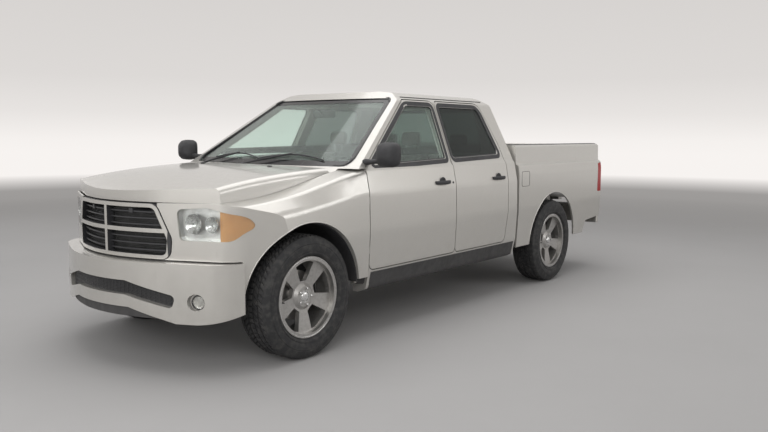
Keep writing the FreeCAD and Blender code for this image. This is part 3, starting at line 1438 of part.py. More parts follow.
def build_steering_wheel():
    """Steering wheel: rim, hub and spokes, square to the column."""
    centre, along, turn = column_frame()
    ring = seat_at(add("Part::Torus", "wheel_ring", Radius1=d.steering_wheel_radius, Radius2=d.steering_wheel_grip),
                   *centre, turn)
    parts = [ring, seat_at(add("Part::Cylinder", "wheel_boss", Radius=62, Height=40), *centre, turn)]
    upward = V(-along.z, 0, along.x)
    for name, way in (("left", V(0, 1, 0)), ("right", V(0, -1, 0)), ("lower", upward * -1)):
        start = [float(c) + w * 20 + a * 10 for c, w, a in zip(centre, way, along)]
        spoke = add("Part::Cylinder", f"wheel_spoke_{name}", Radius=11, Height=d.steering_wheel_radius - 20)
        parts.append(seat_at(spoke, *start, FreeCAD.Rotation(V(0, 0, 1), way)))
    keep(joined("steering_wheel", parts), "steering_wheel")


def bench(name, y0, y1, front, back, height, rests):
    """A seat: cushion, backrest and headrests as one plain form on its base, cut out over the tunnel."""
    floor = d.cab_floor_z + d.seat_clearance
    side = [
        (back + 60, floor), (back + 60, floor + 130), (back - 24, floor + 176), (back - 44, floor + 200),
        (back - 104, height - 40), (back - 86, height), (back - 36, height + 10), (back - 14, height - 10),
        (back + 112, floor + 360), (back + 140, floor + 330), (front - 40, floor + 330), (front, floor + 296),
        (front - 6, floor + 190), (front - 60, floor + 120), (front - 60, floor),
    ]
    parts = [slab(f"{name}_form", side, "xz", y0, y1)]
    for number, y in enumerate(rests, start=1):
        section = [(y - 120, height + 40), (y - 90, height + 18), (y + 90, height + 18), (y + 120, height + 40),
                   (y + 114, height + 160), (y + 80, height + 190), (y - 80, height + 190), (y - 114, height + 160)]
        parts.append(slab(f"{name}_headrest_{number}", section, "yz", back - 92, back - 12))
        parts.append(box(f"{name}_stalk_{number}", back - 60, back - 45, y - 40, y + 40, height - 40, height + 40))
    top = d.cab_floor_z + 118
    tunnel = [(-190, 600), (190, 600), (178, top - 40), (140, top), (-140, top), (-178, top - 40)]
    room = slab(f"{name}_tunnel", tunnel, "yz", d.cab_back, d.cab_front)
    return without(name, joined(f"{name}_whole", parts), [room])


def build_seats():
    """Two front seats and the rear bench."""
    front = bench("front_bench", 195, 665, 640, 130, 1350, (430,))
    keep(group("front_seats", [front, reflection("front_bench_right", front)]), "front_seats")
    keep(bench("rear_bench", -700, 700, -200, -650, 1330, (-420, 420)), "rear_bench")


def build_fuel_tank():
    """Fuel tank beside the propeller shaft, hung on the left rail."""
    section = [(130, 372), (330, 372), (350, 392), (350, 540), (330, 560), (130, 560), (110, 540), (110, 392)]
    rail = d.rail_outer_y - d.rail_width - d.seat_clearance
    parts = [slab("tank_body", section, "yz", -450, 420)]
    for number, x in enumerate((-320, 280), start=1):
        parts.append(box(f"tank_bracket_{number}", x, x + 40, 340, rail, 470, 510))
    keep(joined("fuel_tank", parts), "fuel_tank")


def build_exhaust():
    """Exhaust pipe and silencer on the right, led out in front of the rear wheel."""
    radius, y, z = 32, -230, 345
    bend = (rear_axle_x + 732, -560, z)
    outlet = (rear_axle_x + 622, -840, z)
    section = [(y - 60, 296), (y + 60, 296), (y + 100, 330), (y + 100, 396), (y + 60, 430), (y - 60, 430),
               (y - 100, 396), (y - 100, 330)]
    floor = d.cab_floor_z - d.cab_floor_thickness - d.seat_clearance
    parts = [
        bar("exhaust_pipe", (100, y, z - 5), (1400, y, z - 5), radius),
        slab("silencer", section, "yz", -440, 120),
        bar("exhaust_tail", (-430, y, z), bend, radius),
        ball("exhaust_bend", bend, radius),
        bar("exhaust_outlet", bend, outlet, radius),
        box("exhaust_hanger", -200, -170, y - 10, y + 10, 425, floor),
    ]
    keep(joined("exhaust", parts), "exhaust")


def build_spare_wheel():
    """Spare wheel under the load bed, lying flat with its dish downwards."""
    radius, width, dish = d.tyre_radius - 14, d.tyre_width, d.bead_radius
    section = [(0, width), (radius - 30, width), (radius, width - 40), (radius, 40), (radius - 30, 0), (dish + 12, 0),
               (dish, 20), (dish - 20, width - 70), (0, width - 70)]
    body = doc.addObject("PartDesign::Body", "spare_wheel")
    drawing = polygon(body, "spare_section", "XZ_Plane", section)
    revolved(body, "spare_turn", drawing, "V_Axis")
    keep(body, "spare_wheel", spare_x, 0, d.spare_top - width)


def mirror_shape():
    """Left outside mirror on the front door."""
    front, side = d.door_front, d.half_width
    plan = [(front - 45, side + 52, 30), (front + 45, side + 56, 40), (front + 38, side + 206, 50),
            (front - 40, side + 226, 30)]
    seen_from_front = [(side + 50, 1262, 40), (side + 228, 1276, 50), (side + 222, 1440, 50), (side + 52, 1444, 40)]
    housing = prism(plan, "xy", 1262, 1446)
    housing = housing.common(prism(seen_from_front, "yz", front - 80, front + 80))
    arm = block(front - 80, front - 28, side - 110, side + 70, 1274, 1304)
    arm = arm.cut(section_prism(-d.seat_clearance, 1100, 1400))
    return housing.fuse(arm).removeSplitter()


def build_body():
    """Panels, glass and lamps."""
    piece("cab_shell", cab_shell_shape())
    piece("cab_glass", cab_glass_shape())
    piece("cab_floor", cab_floor_shape())
    pair("door_front", door_shape(front_door_outline(), front_window()))
    pair("door_rear", door_shape(rear_door_outline(), rear_window()))
    pair("glass_front", pane_shape(front_window()))
    pair("glass_rear", pane_shape(rear_window()))
    pair("mirror", mirror_shape())
    piece("hood", hood_shape())
    pair("fender", fender_shape())
    piece("grille", grille_shape())
    piece("headlamps", headlamps_shape())
    piece("front_bumper", front_bumper_shape())
    pair("bedside", bedside_shape())
    piece("tailgate", tailgate_shape())
    piece("tail_lamps", tail_lamps_shape())
    piece("rear_bumper", rear_bumper_shape())
    build_liners()
    build_cowl()
    build_radiator()
    build_bed_box()


def build_running_gear():
    """Frame, axles, springs, wheels and tyres."""
    build_frame()
    build_rear_axle()
    build_driveshaft()
    build_leaf_springs()
    build_front_suspension()
    build_knuckles()
    for end, x in (("front", front_axle_x), ("rear", rear_axle_x)):
        tyre(f"tyre_{end}_left", x, wheel_y)
        tyre(f"tyre_{end}_right", x, -wheel_y)
        wheel(f"wheel_{end}_left", x, wheel_y, 0.0)
        wheel(f"wheel_{end}_right", x, -wheel_y, 180.0)
    build_spare_wheel()
    build_exhaust()
    build_fuel_tank()
    build_engine()


def build_cabin():
    """Seats, dashboard and steering wheel."""
    build_dashboard()
    build_steering_wheel()
    build_seats()


def check_and_write():
    """Every object sound and every piece a valid shape, then one file for each piece."""
    doc.recompute()
    for thing in doc.Objects:
        if "Invalid" in thing.State or "Error" in thing.State:
            raise RuntimeError(f"{thing.Name} is in state {thing.State}")
    for thing in nodes:
        if thing.Shape.isNull() or not thing.Shape.isValid() or not thing.Shape.Solids:
            raise RuntimeError(f"{thing.Label} has no valid shape")
    os.makedirs("parts", exist_ok=True)
    for thing in nodes:
        thing.Shape.exportStep(os.path.join("parts", f"{thing.Label}.step"))
        print(f"{thing.Label}: {len(thing.Shape.Solids)} solids, {len(thing.Shape.Faces)} faces")


build_body()
build_running_gear()
build_cabin()
check_and_write()
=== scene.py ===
import json
import math

import bmesh
import bpy
from mathutils.bvhtree import BVHTree
from mathutils import Matrix, Vector

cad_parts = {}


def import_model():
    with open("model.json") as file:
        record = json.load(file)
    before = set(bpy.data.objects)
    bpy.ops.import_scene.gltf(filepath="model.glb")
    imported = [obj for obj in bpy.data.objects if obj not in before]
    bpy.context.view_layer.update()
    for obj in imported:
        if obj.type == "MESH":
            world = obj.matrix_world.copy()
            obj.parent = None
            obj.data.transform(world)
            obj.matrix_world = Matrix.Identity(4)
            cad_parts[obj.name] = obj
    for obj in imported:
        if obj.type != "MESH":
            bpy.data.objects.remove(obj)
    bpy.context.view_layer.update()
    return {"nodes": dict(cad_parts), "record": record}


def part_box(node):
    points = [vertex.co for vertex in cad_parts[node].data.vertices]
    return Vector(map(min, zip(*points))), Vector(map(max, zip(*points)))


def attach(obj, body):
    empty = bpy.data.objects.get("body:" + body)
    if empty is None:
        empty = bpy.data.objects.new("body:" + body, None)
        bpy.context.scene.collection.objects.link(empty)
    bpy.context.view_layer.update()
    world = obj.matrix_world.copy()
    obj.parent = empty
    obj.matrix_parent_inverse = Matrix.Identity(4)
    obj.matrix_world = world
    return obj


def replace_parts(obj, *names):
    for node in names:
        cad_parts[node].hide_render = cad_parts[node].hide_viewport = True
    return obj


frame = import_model()
nodes = frame["nodes"]

# The CAD's main stations, in metres.
FRONT_AXLE_X = 1.937
REAR_AXLE_X = -1.632
AXLE_Z = 0.418
WHEEL_Y = 0.8635
TYRE_RADIUS = 0.418
SPRING_Y = 0.535
COIL_LOW = 0.466
SIDES = (("left", 1), ("right", -1))

# Materials


class Shader:
    """A material's node tree with a Principled surface, and short ways to add to it."""

    def __init__(self, name, color, roughness=0.5, metallic=0.0):
        self.material = bpy.data.materials.new(name)
        self.material.use_nodes = True
        self.tree = self.material.node_tree
        self.surface = self.tree.nodes["Principled BSDF"]
        self.set("Base Color", (*color, 1))
        self.set("Roughness", roughness)
        self.set("Metallic", metallic)
        self.place = self.add("ShaderNodeTexCoord").outputs["Object"]

    def set(self, socket, value):
        self.surface.inputs[socket].default_value = value

    def add(self, kind, **values):
        node = self.tree.nodes.new(kind)
        for key, value in values.items():
            setattr(node, key, value)
        return node

    def link(self, source, target):
        self.tree.links.new(source, target)

    def texture(self, kind, scale, **values):
        """A texture node in the object's own space."""
        node = self.add(kind, **values)
        node.inputs["Scale"].default_value = scale
        self.link(self.place, node.inputs["Vector"])
        return node

    def noise(self, scale, detail=3.0):
        node = self.texture("ShaderNodeTexNoise", scale)
        node.inputs["Detail"].default_value = detail
        node.inputs["Roughness"].default_value = 0.6
        return node.outputs["Fac"]

    def cells(self, scale):
        return self.texture("ShaderNodeTexVoronoi", scale).outputs["Distance"]

    def waves(self, scale, direction):
        return self.texture("ShaderNodeTexWave", scale, bands_direction=direction).outputs["Fac"]

    def axis(self, name):
        node = self.add("ShaderNodeSeparateXYZ")
        self.link(self.place, node.inputs["Vector"])
        return node.outputs[name]

    def spread(self, value, low, high, start=0.0, end=1.0):
        node = self.add("ShaderNodeMapRange")
        for socket, number in (("From Min", low), ("From Max", high), ("To Min", start), ("To Max", end)):
            node.inputs[socket].default_value = number
        self.link(value, node.inputs["Value"])
        return node.outputs["Result"]

    def math(self, operation, first, second):
        node = self.add("ShaderNodeMath", operation=operation)
        for socket, value in zip(node.inputs, (first, second)):
            if isinstance(value, (int, float)):
                socket.default_value = value
            else:
                self.link(value, socket)
        return node.outputs["Value"]

    def tint(self, factor, first, second):
        node = self.add("ShaderNodeMix", data_type="RGBA")
        self.link(factor, node.inputs["Factor"])
        for socket, value in ((node.inputs[6], first), (node.inputs[7], second)):
            if isinstance(value, tuple):
                socket.default_value = (*value, 1)
            else:
                self.link(value, socket)
        return node.outputs[2]

    def color(self, output):
        self.link(output, self.surface.inputs["Base Color"])

    def roughness(self, output):
        self.link(output, self.surface.inputs["Roughness"])

    def uneven(self, scale, low, high):
        """Roughness that wanders between two values."""
        self.roughness(self.spread(self.noise(scale), 0.3, 0.7, low, high))

    def dust_and_shade_low(self, base, top, bottom, amount, scale, low_tint):
        """A colour mixed downwards, through noise, into a second colour: road dust where that colour is lighter,
        painted shade where it is darker.
        """
        low = self.spread(self.axis("Z"), top, bottom, 0.0, amount)
        return self.tint(self.math("MULTIPLY", low, self.noise(scale)), base, low_tint)

    def bump(self, height, distance, strength):
        node = self.add("ShaderNodeBump")
        node.inputs["Distance"].default_value = distance
        node.inputs["Strength"].default_value = strength
        self.link(height, node.inputs["Height"])
        self.link(node.outputs["Normal"], self.surface.inputs["Normal"])


def shaded(color, share):
    """A colour with its light multiplied, darker or lighter."""
    return tuple(c * share for c in color)


def grained(name, color, roughness, grain=900.0, depth=0.0003, lift=1.5, metallic=0.0, low_tint=0.25):
    """Moulded or cast surface: fine grain, slow change of tone, and a little road dust low down."""
    look = Shader(name, color, roughness, metallic)
    base = look.tint(look.spread(look.noise(3.0), 0.35, 0.7), color, shaded(color, lift))
    look.color(look.dust_and_shade_low(base, 0.75, 0.15, low_tint, 14.0, (0.30, 0.28, 0.25)))
    look.uneven(25.0, roughness - 0.06, min(1.0, roughness + 0.1))
    look.bump(look.noise(grain, 2.0), depth, 0.4)
    return look.material


def paint():
    """Champagne silver: metal flakes, clear coat, a faint ripple, and painted shade, mottled by noise, darkening it
    towards the sills.
    """
    look = Shader("body_paint", (0.56, 0.54, 0.50), 0.36, 0.55)
    look.set("Coat Weight", 0.8)
    look.set("Coat Roughness", 0.08)
    flakes = look.spread(look.cells(2600.0), 0.0, 0.7)
    tone = look.tint(flakes, (0.63, 0.615, 0.58), (0.50, 0.485, 0.455))
    slow = look.spread(look.noise(1.3, 2.0), 0.3, 0.7)
    tone = look.tint(look.math("MULTIPLY", slow, 0.25), tone, (0.53, 0.51, 0.47))
    # Painted shade: from 0.85 m down to 0.30 m the paint is mixed, through noise, towards a darker warm grey.
    look.color(look.dust_and_shade_low(tone, 0.85, 0.30, 0.5, 9.0, (0.33, 0.31, 0.28)))
    look.uneven(30.0, 0.30, 0.42)
    look.bump(look.noise(160.0, 2.0), 0.0002, 0.12)
    return look.material


def glass(name, color, clear, roughness=0.02):
    """Tinted pane: clear to light, with a faint film of dust."""
    look = Shader(name, color, roughness)
    look.set("Transmission Weight", clear)
    look.set("IOR", 1.25)
    look.color(look.tint(look.spread(look.noise(4.0), 0.4, 0.8, 0.0, 0.2), color, shaded(color, 0.85)))
    look.roughness(look.spread(look.noise(18.0), 0.3, 0.8, roughness, roughness + 0.06))
    look.bump(look.noise(2.0, 1.0), 0.0004, 0.05)
    return look.material


def rubber():
    """Tyre rubber: dusty black with a fine grain."""
    look = Shader("tyre_rubber", (0.028, 0.028, 0.03), 0.82)
    grey = look.spread(look.noise(22.0, 5.0), 0.45, 0.8)
    look.color(look.tint(grey, (0.02, 0.02, 0.021), (0.065, 0.062, 0.058)))
    look.bump(look.noise(700.0, 2.0), 0.0004, 0.5)
    return look.material


def alloy():
    """Satin silver wheel with specks of brake dust."""
    look = Shader("wheel_alloy", (0.40, 0.39, 0.38), 0.36, 0.8)
    specks = look.spread(look.noise(45.0, 4.0), 0.45, 0.8, 0.0, 0.6)
    look.color(look.tint(specks, (0.41, 0.40, 0.385), (0.24, 0.23, 0.21)))
    look.uneven(80.0, 0.28, 0.44)
    look.set("Coat Weight", 0.4)
    look.set("Coat Roughness", 0.15)
    look.bump(look.noise(500.0, 2.0), 0.0002, 0.25)
    return look.material


def metal(name, color, roughness, scale=60.0, depth=0.0006):
    """Bare or cast metal with stains."""
    look = Shader(name, color, roughness, 0.8)
    stain = look.spread(look.noise(scale / 8, 5.0), 0.4, 0.75)
    look.color(look.tint(stain, color, shaded(color, 0.55)))
    look.uneven(scale, roughness - 0.1, roughness + 0.15)
    look.bump(look.noise(scale * 4, 3.0), depth, 0.4)
    return look.material


def lamp(name, color, transmission):
    """Moulded lamp cover with fine vertical flutes."""
    look = Shader(name, color, 0.08)
    look.set("Transmission Weight", transmission)
    look.set("IOR", 1.3)
    look.color(look.tint(look.spread(look.noise(6.0), 0.3, 0.8, 0.0, 0.3), color, shaded(color, 0.8)))
    look.bump(look.waves(60.0, "Y"), 0.0006, 0.15)
    return look.material


def cloth(name, color, thread=420.0):
    """Woven cloth: crossed threads, fuzz and slight fading."""
    look = Shader(name, color, 0.9)
    look.set("Sheen Weight", 0.3)
    look.set("Sheen Roughness", 0.5)
    weave = look.math("MULTIPLY", look.waves(thread, "X"), look.waves(thread, "Z"))
    weave = look.math("ADD", weave, look.math("MULTIPLY", look.waves(thread, "Y"), 0.5))
    base = look.tint(look.spread(weave, 0.0, 1.2), shaded(color, 0.6), shaded(color, 1.3))
    look.color(look.tint(look.spread(look.noise(5.0), 0.4, 0.8, 0.0, 0.35), base, shaded(color, 0.75)))
    look.bump(weave, 0.0003, 0.3)
    return look.material


MATERIALS = {
    "body_paint": paint(),
    "window_glass": glass("window_glass", (0.13, 0.16, 0.15), 0.9),
    "screen_glass": glass("screen_glass", (0.80, 0.91, 0.86), 0.95),
    "black_plastic": grained("black_plastic", (0.022, 0.022, 0.024), 0.62),
    "gloss_black": grained("gloss_black", (0.012, 0.012, 0.013), 0.2, 200.0, 0.0001, low_tint=0.1),
    "tyre_rubber": rubber(),
    "wheel_alloy": alloy(),
    "frame_black": grained("frame_black", (0.022, 0.022, 0.022), 0.55, 160.0, 0.0006, 2.0, low_tint=0.7),
    "engine_metal": metal("engine_metal", (0.17, 0.17, 0.165), 0.55),
    "exhaust_steel": metal("exhaust_steel", (0.42, 0.38, 0.34), 0.42),
    "chrome": metal("chrome", (0.75, 0.75, 0.74), 0.2, 40.0, 0.0001),
    "grille_dark": grained("grille_dark", (0.03, 0.03, 0.032), 0.42, 300.0, 0.0002, low_tint=0.1),
    "grille_bar": grained("grille_bar", (0.16, 0.16, 0.16), 0.35, 300.0, 0.0002, metallic=0.5, low_tint=0.1),
    "lamp_clear": lamp("lamp_clear", (0.95, 0.97, 0.96), 0.97),
    "lamp_bowl": metal("lamp_bowl", (0.92, 0.915, 0.90), 0.35, 30.0, 0.0001),
    "lamp_amber": lamp("lamp_amber", (1.0, 0.56, 0.24), 0.35),
    "lamp_red": lamp("lamp_red", (0.42, 0.010, 0.012), 0.25),
    "cabin_plastic": grained("cabin_plastic", (0.09, 0.085, 0.08), 0.65, 700.0, 0.0004, low_tint=0.0),
    "cabin_light": grained("cabin_light", (0.36, 0.34, 0.31), 0.75, 700.0, 0.0004, 1.1, low_tint=0.0),
    "seat_cloth": cloth("seat_cloth", (0.115, 0.11, 0.10)),
    "carpet": cloth("carpet", (0.035, 0.034, 0.033), 160.0),
    "bed_liner": grained("bed_liner", (0.035, 0.035, 0.036), 0.75, 420.0, 0.0012, 1.8, low_tint=0.1),
}

for name, thing in nodes.items():
    slot_name = next((s["material_slot"] for s in frame["record"]["subparts"] if s["node"] == name), None)
    material = MATERIALS.get(slot_name, MATERIALS["frame_black"])
    if name in ("cab_glass", "glass_front_left", "glass_front_right"):
        material = MATERIALS["screen_glass"]
    thing.data.materials.clear()
    thing.data.materials.append(material)

# Building in mesh


class Form:
    """Geometry gathered in one mesh, which becomes one piece."""

    def __init__(self):
        self.mesh = bmesh.new()

    def box(self, low, high):
        """A box between two corners, in any order."""
        centre = (Vector(low) + Vector(high)) / 2
        size = [abs(b - a) for a, b in zip(low, high)]
        matrix = Matrix.Translation(centre) @ Matrix.Diagonal((*size, 1))
        bmesh.ops.create_cube(self.mesh, size=1, matrix=matrix)
        return self

    def rod(self, start, end, radius, end_radius=None, steps=24):
        """A round bar or cone between two points."""
        start, end = Vector(start), Vector(end)
        turn = (end - start).to_track_quat("Z", "Y").to_matrix().to_4x4()
        matrix = Matrix.Translation((start + end) / 2) @ turn
        bmesh.ops.create_cone(self.mesh, cap_ends=True, segments=steps, radius1=radius,
                              radius2=radius if end_radius is None else end_radius,
                              depth=(end - start).length, matrix=matrix)
        return self

    def turned(self, profile, origin, axis, steps=48):
        """A profile of (radius, height) pairs turned about an axis."""
        turn = Vector(axis).to_track_quat("Z", "Y").to_matrix().to_4x4()
        place = Matrix.Translation(origin) @ turn
        return self.loft([[place @ Vector((radius * math.cos(a), radius * math.sin(a), height)) for a in turns(steps)]
                          for radius, height in profile], caps=False)

    def bridge(self, rings):
        """Faces between rings of equally many points."""
        for first, second in zip(rings, rings[1:]):
            for a, b, c, d in zip(first, first[1:] + first[:1], second[1:] + second[:1], second):
                self.mesh.faces.new((a, b, c, d))

    def loft(self, rings, caps=True):
        """A skin over rings of points, with its ends closed unless they are to stay open."""
        made = [[self.mesh.verts.new(point) for point in ring] for ring in rings]
        self.bridge(made)
        if caps:
            self.mesh.faces.new(made[0])
            self.mesh.faces.new(made[-1])
        return self

    def plate(self, outline, thickness):
        """A flat outline in space with a thickness given as a vector."""
        first = [self.mesh.verts.new(point) for point in outline]
        second = [self.mesh.verts.new(Vector(point) + Vector(thickness)) for point in outline]
        self.mesh.faces.new(first)
        self.mesh.faces.new(list(reversed(second)))
        self.bridge([first, second])
        return self

    def piece(self, name, material="black_plastic", body="chassis", slot=None, bevel=0.0, smooth=35.0):
        """The finished piece, riding on a body."""
        bmesh.ops.recalc_face_normals(self.mesh, faces=self.mesh.faces)
        data = bpy.data.meshes.new(name)
        self.mesh.to_mesh(data)
        self.mesh.free()
        thing = added(name, data, material, body)
        if bevel:
            edge = thing.modifiers.new("edges", "BEVEL")
            edge.width = bevel
            edge.segments = 2
            edge.limit_method = "ANGLE"
            edge.angle_limit = math.radians(40)
        data.shade_smooth()
        data.set_sharp_from_angle(angle=math.radians(smooth))
        return thing


def added(name, data, material, body):
    """A new object with its material and body."""
    thing = bpy.data.objects.new(name, data)
    bpy.context.collection.objects.link(thing)
    data.materials.append(MATERIALS[material])
    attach(thing, body)
    return thing


def strand(name, lines, radius, material="black_plastic", body="chassis", closed=False, smooth=True):
    """Round strips along one or several lines of points."""
    data = bpy.data.curves.new(name, "CURVE")
    data.dimensions = "3D"
    data.bevel_depth = radius
    data.bevel_resolution = 3
    data.resolution_u = 6
    data.use_fill_caps = True
    for line in lines:
        spline = data.splines.new("NURBS" if smooth else "POLY")
        spline.points.add(len(line) - 1)
        for point, place in zip(spline.points, line):
            point.co = (*place, 1)
        spline.use_cyclic_u = closed
        if smooth:
            spline.order_u = 3
            spline.use_endpoint_u = not closed
    return added(name, data, material, body)


def tree_of(data):
    """A search tree over a mesh's faces."""
    return BVHTree.FromPolygons([v.co.copy() for v in data.vertices], [tuple(f.vertices) for f in data.polygons])


TREES = {}
BESIDE = Vector((0.0002, 0.0002, 0.0002))


def cast(node, start, way):
    """Where a ray first meets a CAD node: the point and the surface's normal, or nothing twice."""
    if node not in TREES:
        TREES[node] = tree_of(nodes[node].data)
    return TREES[node].ray_cast(Vector(start), Vector(way))[:2]


def hit(node, start, way):
    """The place where a ray first meets a CAD node; one that slips between two faces is sent again beside it."""
    return cast(node, start, way)[0] or cast(node, Vector(start) + BESIDE, way)[0]


def hits(node, starts, way):
    """The places where rays meet a CAD node; those that miss are left out."""
    return [place for place, _ in (cast(node, start, way) for start in starts) if place is not None]


def turns(count):
    """Even angles round a circle."""
    return [2 * math.pi * number / count for number in range(count)]


def spaced(line, step):
    """Points at an even distance round a closed outline."""
    even = []
    for first, second in zip(line, line[1:] + line[:1]):
        count = max(1, round((second - first).length / step))
        even += [first.lerp(second, number / count) for number in range(count)]
    return even


def ring_of(corners, steps=6, pitch=0.0):
    """Outline in a plane from corners given as a place and a rounding; long sides are split to a pitch."""
    ring = []
    for number, (a, b, radius) in enumerate(corners):
        here = Vector((a, b))
        before = Vector(corners[number - 1][:2]) - here
        after = Vector(corners[(number + 1) % len(corners)][:2]) - here
        first, last = here + before.normalized() * radius, here + after.normalized() * radius
        for step in range(steps + 1):
            t = step / steps
            ring.append(first * (1 - t) ** 2 + here * 2 * t * (1 - t) + last * t * t)
    return spaced(ring, pitch) if pitch else ring


def rounded(a0, a1, b0, b1, radius, steps=5):
    """Outline of a rounded rectangle in a plane."""
    return ring_of(((a0, b0, radius), (a1, b0, radius), (a1, b1, radius), (a0, b1, radius)), steps)


def grown(ring, distance):
    """An outline in a plane moved outwards, or inwards when the distance is negative."""
    area = sum(a.x * b.y - b.x * a.y for a, b in zip(ring, ring[1:] + ring[:1]))
    side = 1 if area > 0 else -1
    moved = []
    for number, here in enumerate(ring):
        along = ring[(number + 1) % len(ring)] - ring[number - 1]
        moved.append(here + Vector((along.y, -along.x)).normalized() * distance * side)
    return moved


def sheet(node, way, spots, lift, closed=False):
    """A sheet laid on a node: rows of start points are cast along a direction onto it."""
    form = Form()
    way = Vector(way)
    grid = []
    for row in spots:
        made = []
        for start in row:
            place, normal = cast(node, start, way)
            made.append(place and form.mesh.verts.new(place - (normal if normal.dot(way) > 0 else -normal) * lift))
        grid.append(made)
    for first, second in zip(grid, grid[1:] + grid[:1] if closed else grid[1:]):
        for a, b, c, e in zip(first, second, second[1:], first[1:]):
            if a and b and c and e:
                form.mesh.faces.new((a, b, c, e))
    bmesh.ops.delete(form.mesh, geom=[v for v in form.mesh.verts if not v.link_faces], context="VERTS")
    form.mesh.normal_update()
    total = sum((f.normal * f.calc_area() for f in form.mesh.faces), Vector())
    if total.dot(way) > 0:
        bmesh.ops.reverse_faces(form.mesh, faces=form.mesh.faces)
        form.mesh.normal_update()
    return form


def seen(way, a, b, start=4.0):
    """Start of a ray along X, Y or Z that passes a and b on the other two axes."""
    axis = max(range(3), key=lambda k: abs(way[k]))
    spot = [a, b]
    spot.insert(axis, -start * way[axis])
    return spot


def patch(node, way, first, second, lift, steps=(12, 12), start=4.0):
    """A rectangle laid on a node, as seen along X, Y or Z."""
    (a0, a1), (b0, b1) = first, second
    return sheet(node, way, [[seen(way, a0 + (a1 - a0) * i / steps[0], b0 + (b1 - b0) * j / steps[1], start)
                              for j in range(steps[1] + 1)] for i in range(steps[0] + 1)], lift)


def border(node, way, inner, outer, lift):
    """A band between two outlines as seen along X or Y, laid on a node."""
    return sheet(node, way, [[seen(way, *a.lerp(b, share / 3)) for share in range(4)] for a, b in zip(inner, outer)],
                 lift, closed=True)


def walled(form, depth):
    """Gives an open sheet a thickness behind it, with side walls."""
    edges = [e for e in form.mesh.edges if len(e.link_faces) == 1]
    form.mesh.normal_update()
    twin = {v: form.mesh.verts.new(v.co - v.normal * depth) for v in list(form.mesh.verts)}
    for face in list(form.mesh.faces):
        form.mesh.faces.new([twin[v] for v in reversed(face.verts)])
    for edge in edges:
        a, b = edge.verts
        form.mesh.faces.new((a, b, twin[b], twin[a]))
    return form


def laid(name, material, body, node, way, first, second, lift, depth, steps=(12, 12), start=4.0, smooth=60):
    """A piece that covers a rectangle of a node, as seen along X, Y or Z."""
    cover = walled(patch(node, way, first, second, lift, steps, start), depth)
    cover.piece(name, material, body, smooth=smooth)


def trimmed(form, place, normal):
    """Cuts away what lies on the normal's side of a plane."""
    everything = form.mesh.verts[:] + form.mesh.edges[:] + form.mesh.faces[:]
    bmesh.ops.bisect_plane(form.mesh, geom=everything, plane_co=place, plane_no=normal, clear_outer=True)
    return form


def rim_of(node, keep, flat):
    """Outer edge of a pane: the outline of its points as seen along one axis, in order."""
    points = [v.co.copy() for v in nodes[node].data.vertices if keep(v.co)]
    a, b = [axis for axis in range(3) if axis != flat]
    ordered = sorted(points, key=lambda p: (p[a], p[b]))

    def half(seq):
        chain = []
        for p in seq:
            while len(chain) > 1:
                (x0, y0), (x1, y1) = (chain[-2][a], chain[-2][b]), (chain[-1][a], chain[-1][b])
                if (x1 - x0) * (p[b] - y0) - (y1 - y0) * (p[a] - x0) > 1e-9:
                    break
                chain.pop()
            chain.append(p)
        return chain[:-1]

    return half(ordered) + half(ordered[::-1])


# Tyres and wheels

TREAD_DEPTH = 0.011
TREAD_PITCHES = 68
TREAD_FILL = 0.80
TREAD_ROWS = ((-0.092, 0.030), (-0.048, 0.034), (0.0, 0.036), (0.048, 0.034), (0.092, 0.030))
WHEELS = [(end, side, s, Vector((x, s * WHEEL_Y, AXLE_Z)))
          for end, x in (("front", FRONT_AXLE_X), ("rear", REAR_AXLE_X)) for side, s in SIDES]
DOORS = [(end, side, s, f"{end}_{side}_door") for end in ("front", "rear") for side, s in SIDES]


def round_axle(centre, radius, angle, across=0.0):
    """A point round an axle that runs along Y."""
    return centre + Vector((radius * math.cos(angle), across, radius * math.sin(angle)))


def tyre_form(centre):
    """Tyre with raised tread blocks, shoulder lugs and rings moulded into its sides."""
    work = Form()
    low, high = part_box("tyre_rear_left")
    half = (high.y - low.y) / 2
    edge = TYRE_RADIUS - TREAD_DEPTH
    side = [(0.2625, 0.107), (0.277, 0.108), (0.284, 0.122)] + [(radius, half - inset) for radius, inset in (
        (0.292, 0.006), (0.300, 0.0035), (0.303, 0.007), (0.318, 0.003), (0.335, 0.0005), (0.352, 0.0015),
        (0.356, 0.006), (0.362, 0.0045), (0.380, 0.010), (0.394, 0.018))] + [(edge, 0.112)]
    profile = side + [(edge, 0.0)] + [(radius, -height) for radius, height in reversed(side)]
    work.turned(profile + [profile[0]], centre, (0, 1, 0), 120)
    step = 2 * math.pi / TREAD_PITCHES
    for row, (middle, width) in enumerate(TREAD_ROWS):
        lean = 0.010 * (1 if row < 2 else -1 if row > 2 else 0)
        for pitch in range(TREAD_PITCHES):
            tread_block(work, centre, (pitch + 0.5 * (row % 2)) * step, step * TREAD_FILL,
                        (middle - width / 2, middle + width / 2), lean, row in (0, 4))
    return work


def tread_block(work, centre, start, span, edges, lean, outer):
    """One block on the tread, a little smaller at its top; the outer rows run down the shoulder."""
    rings = []
    shoulder = math.copysign(0.005, sum(edges))
    for radius, shrink in ((TYRE_RADIUS - TREAD_DEPTH - 0.002, 0.0), (TYRE_RADIUS - 0.0025, 0.0012),
                           (TYRE_RADIUS - 0.0006, 0.0030)):
        ring = []
        for part, edge in ((0, 0), (1, 0), (1, 1), (0, 1)):
            inward, way = (-shrink if part else shrink), (1 if edge else -1)
            angle = start + span * part + inward / radius + 1.4 * lean * way / radius
            across, reach = edges[edge] - shrink * way, radius
            if outer and abs(edges[edge]) > 0.10:
                across, reach = edges[edge] + shoulder, radius - 0.010
            ring.append(round_axle(centre, reach, angle, across))
        rings.append(ring)
    work.loft(rings)


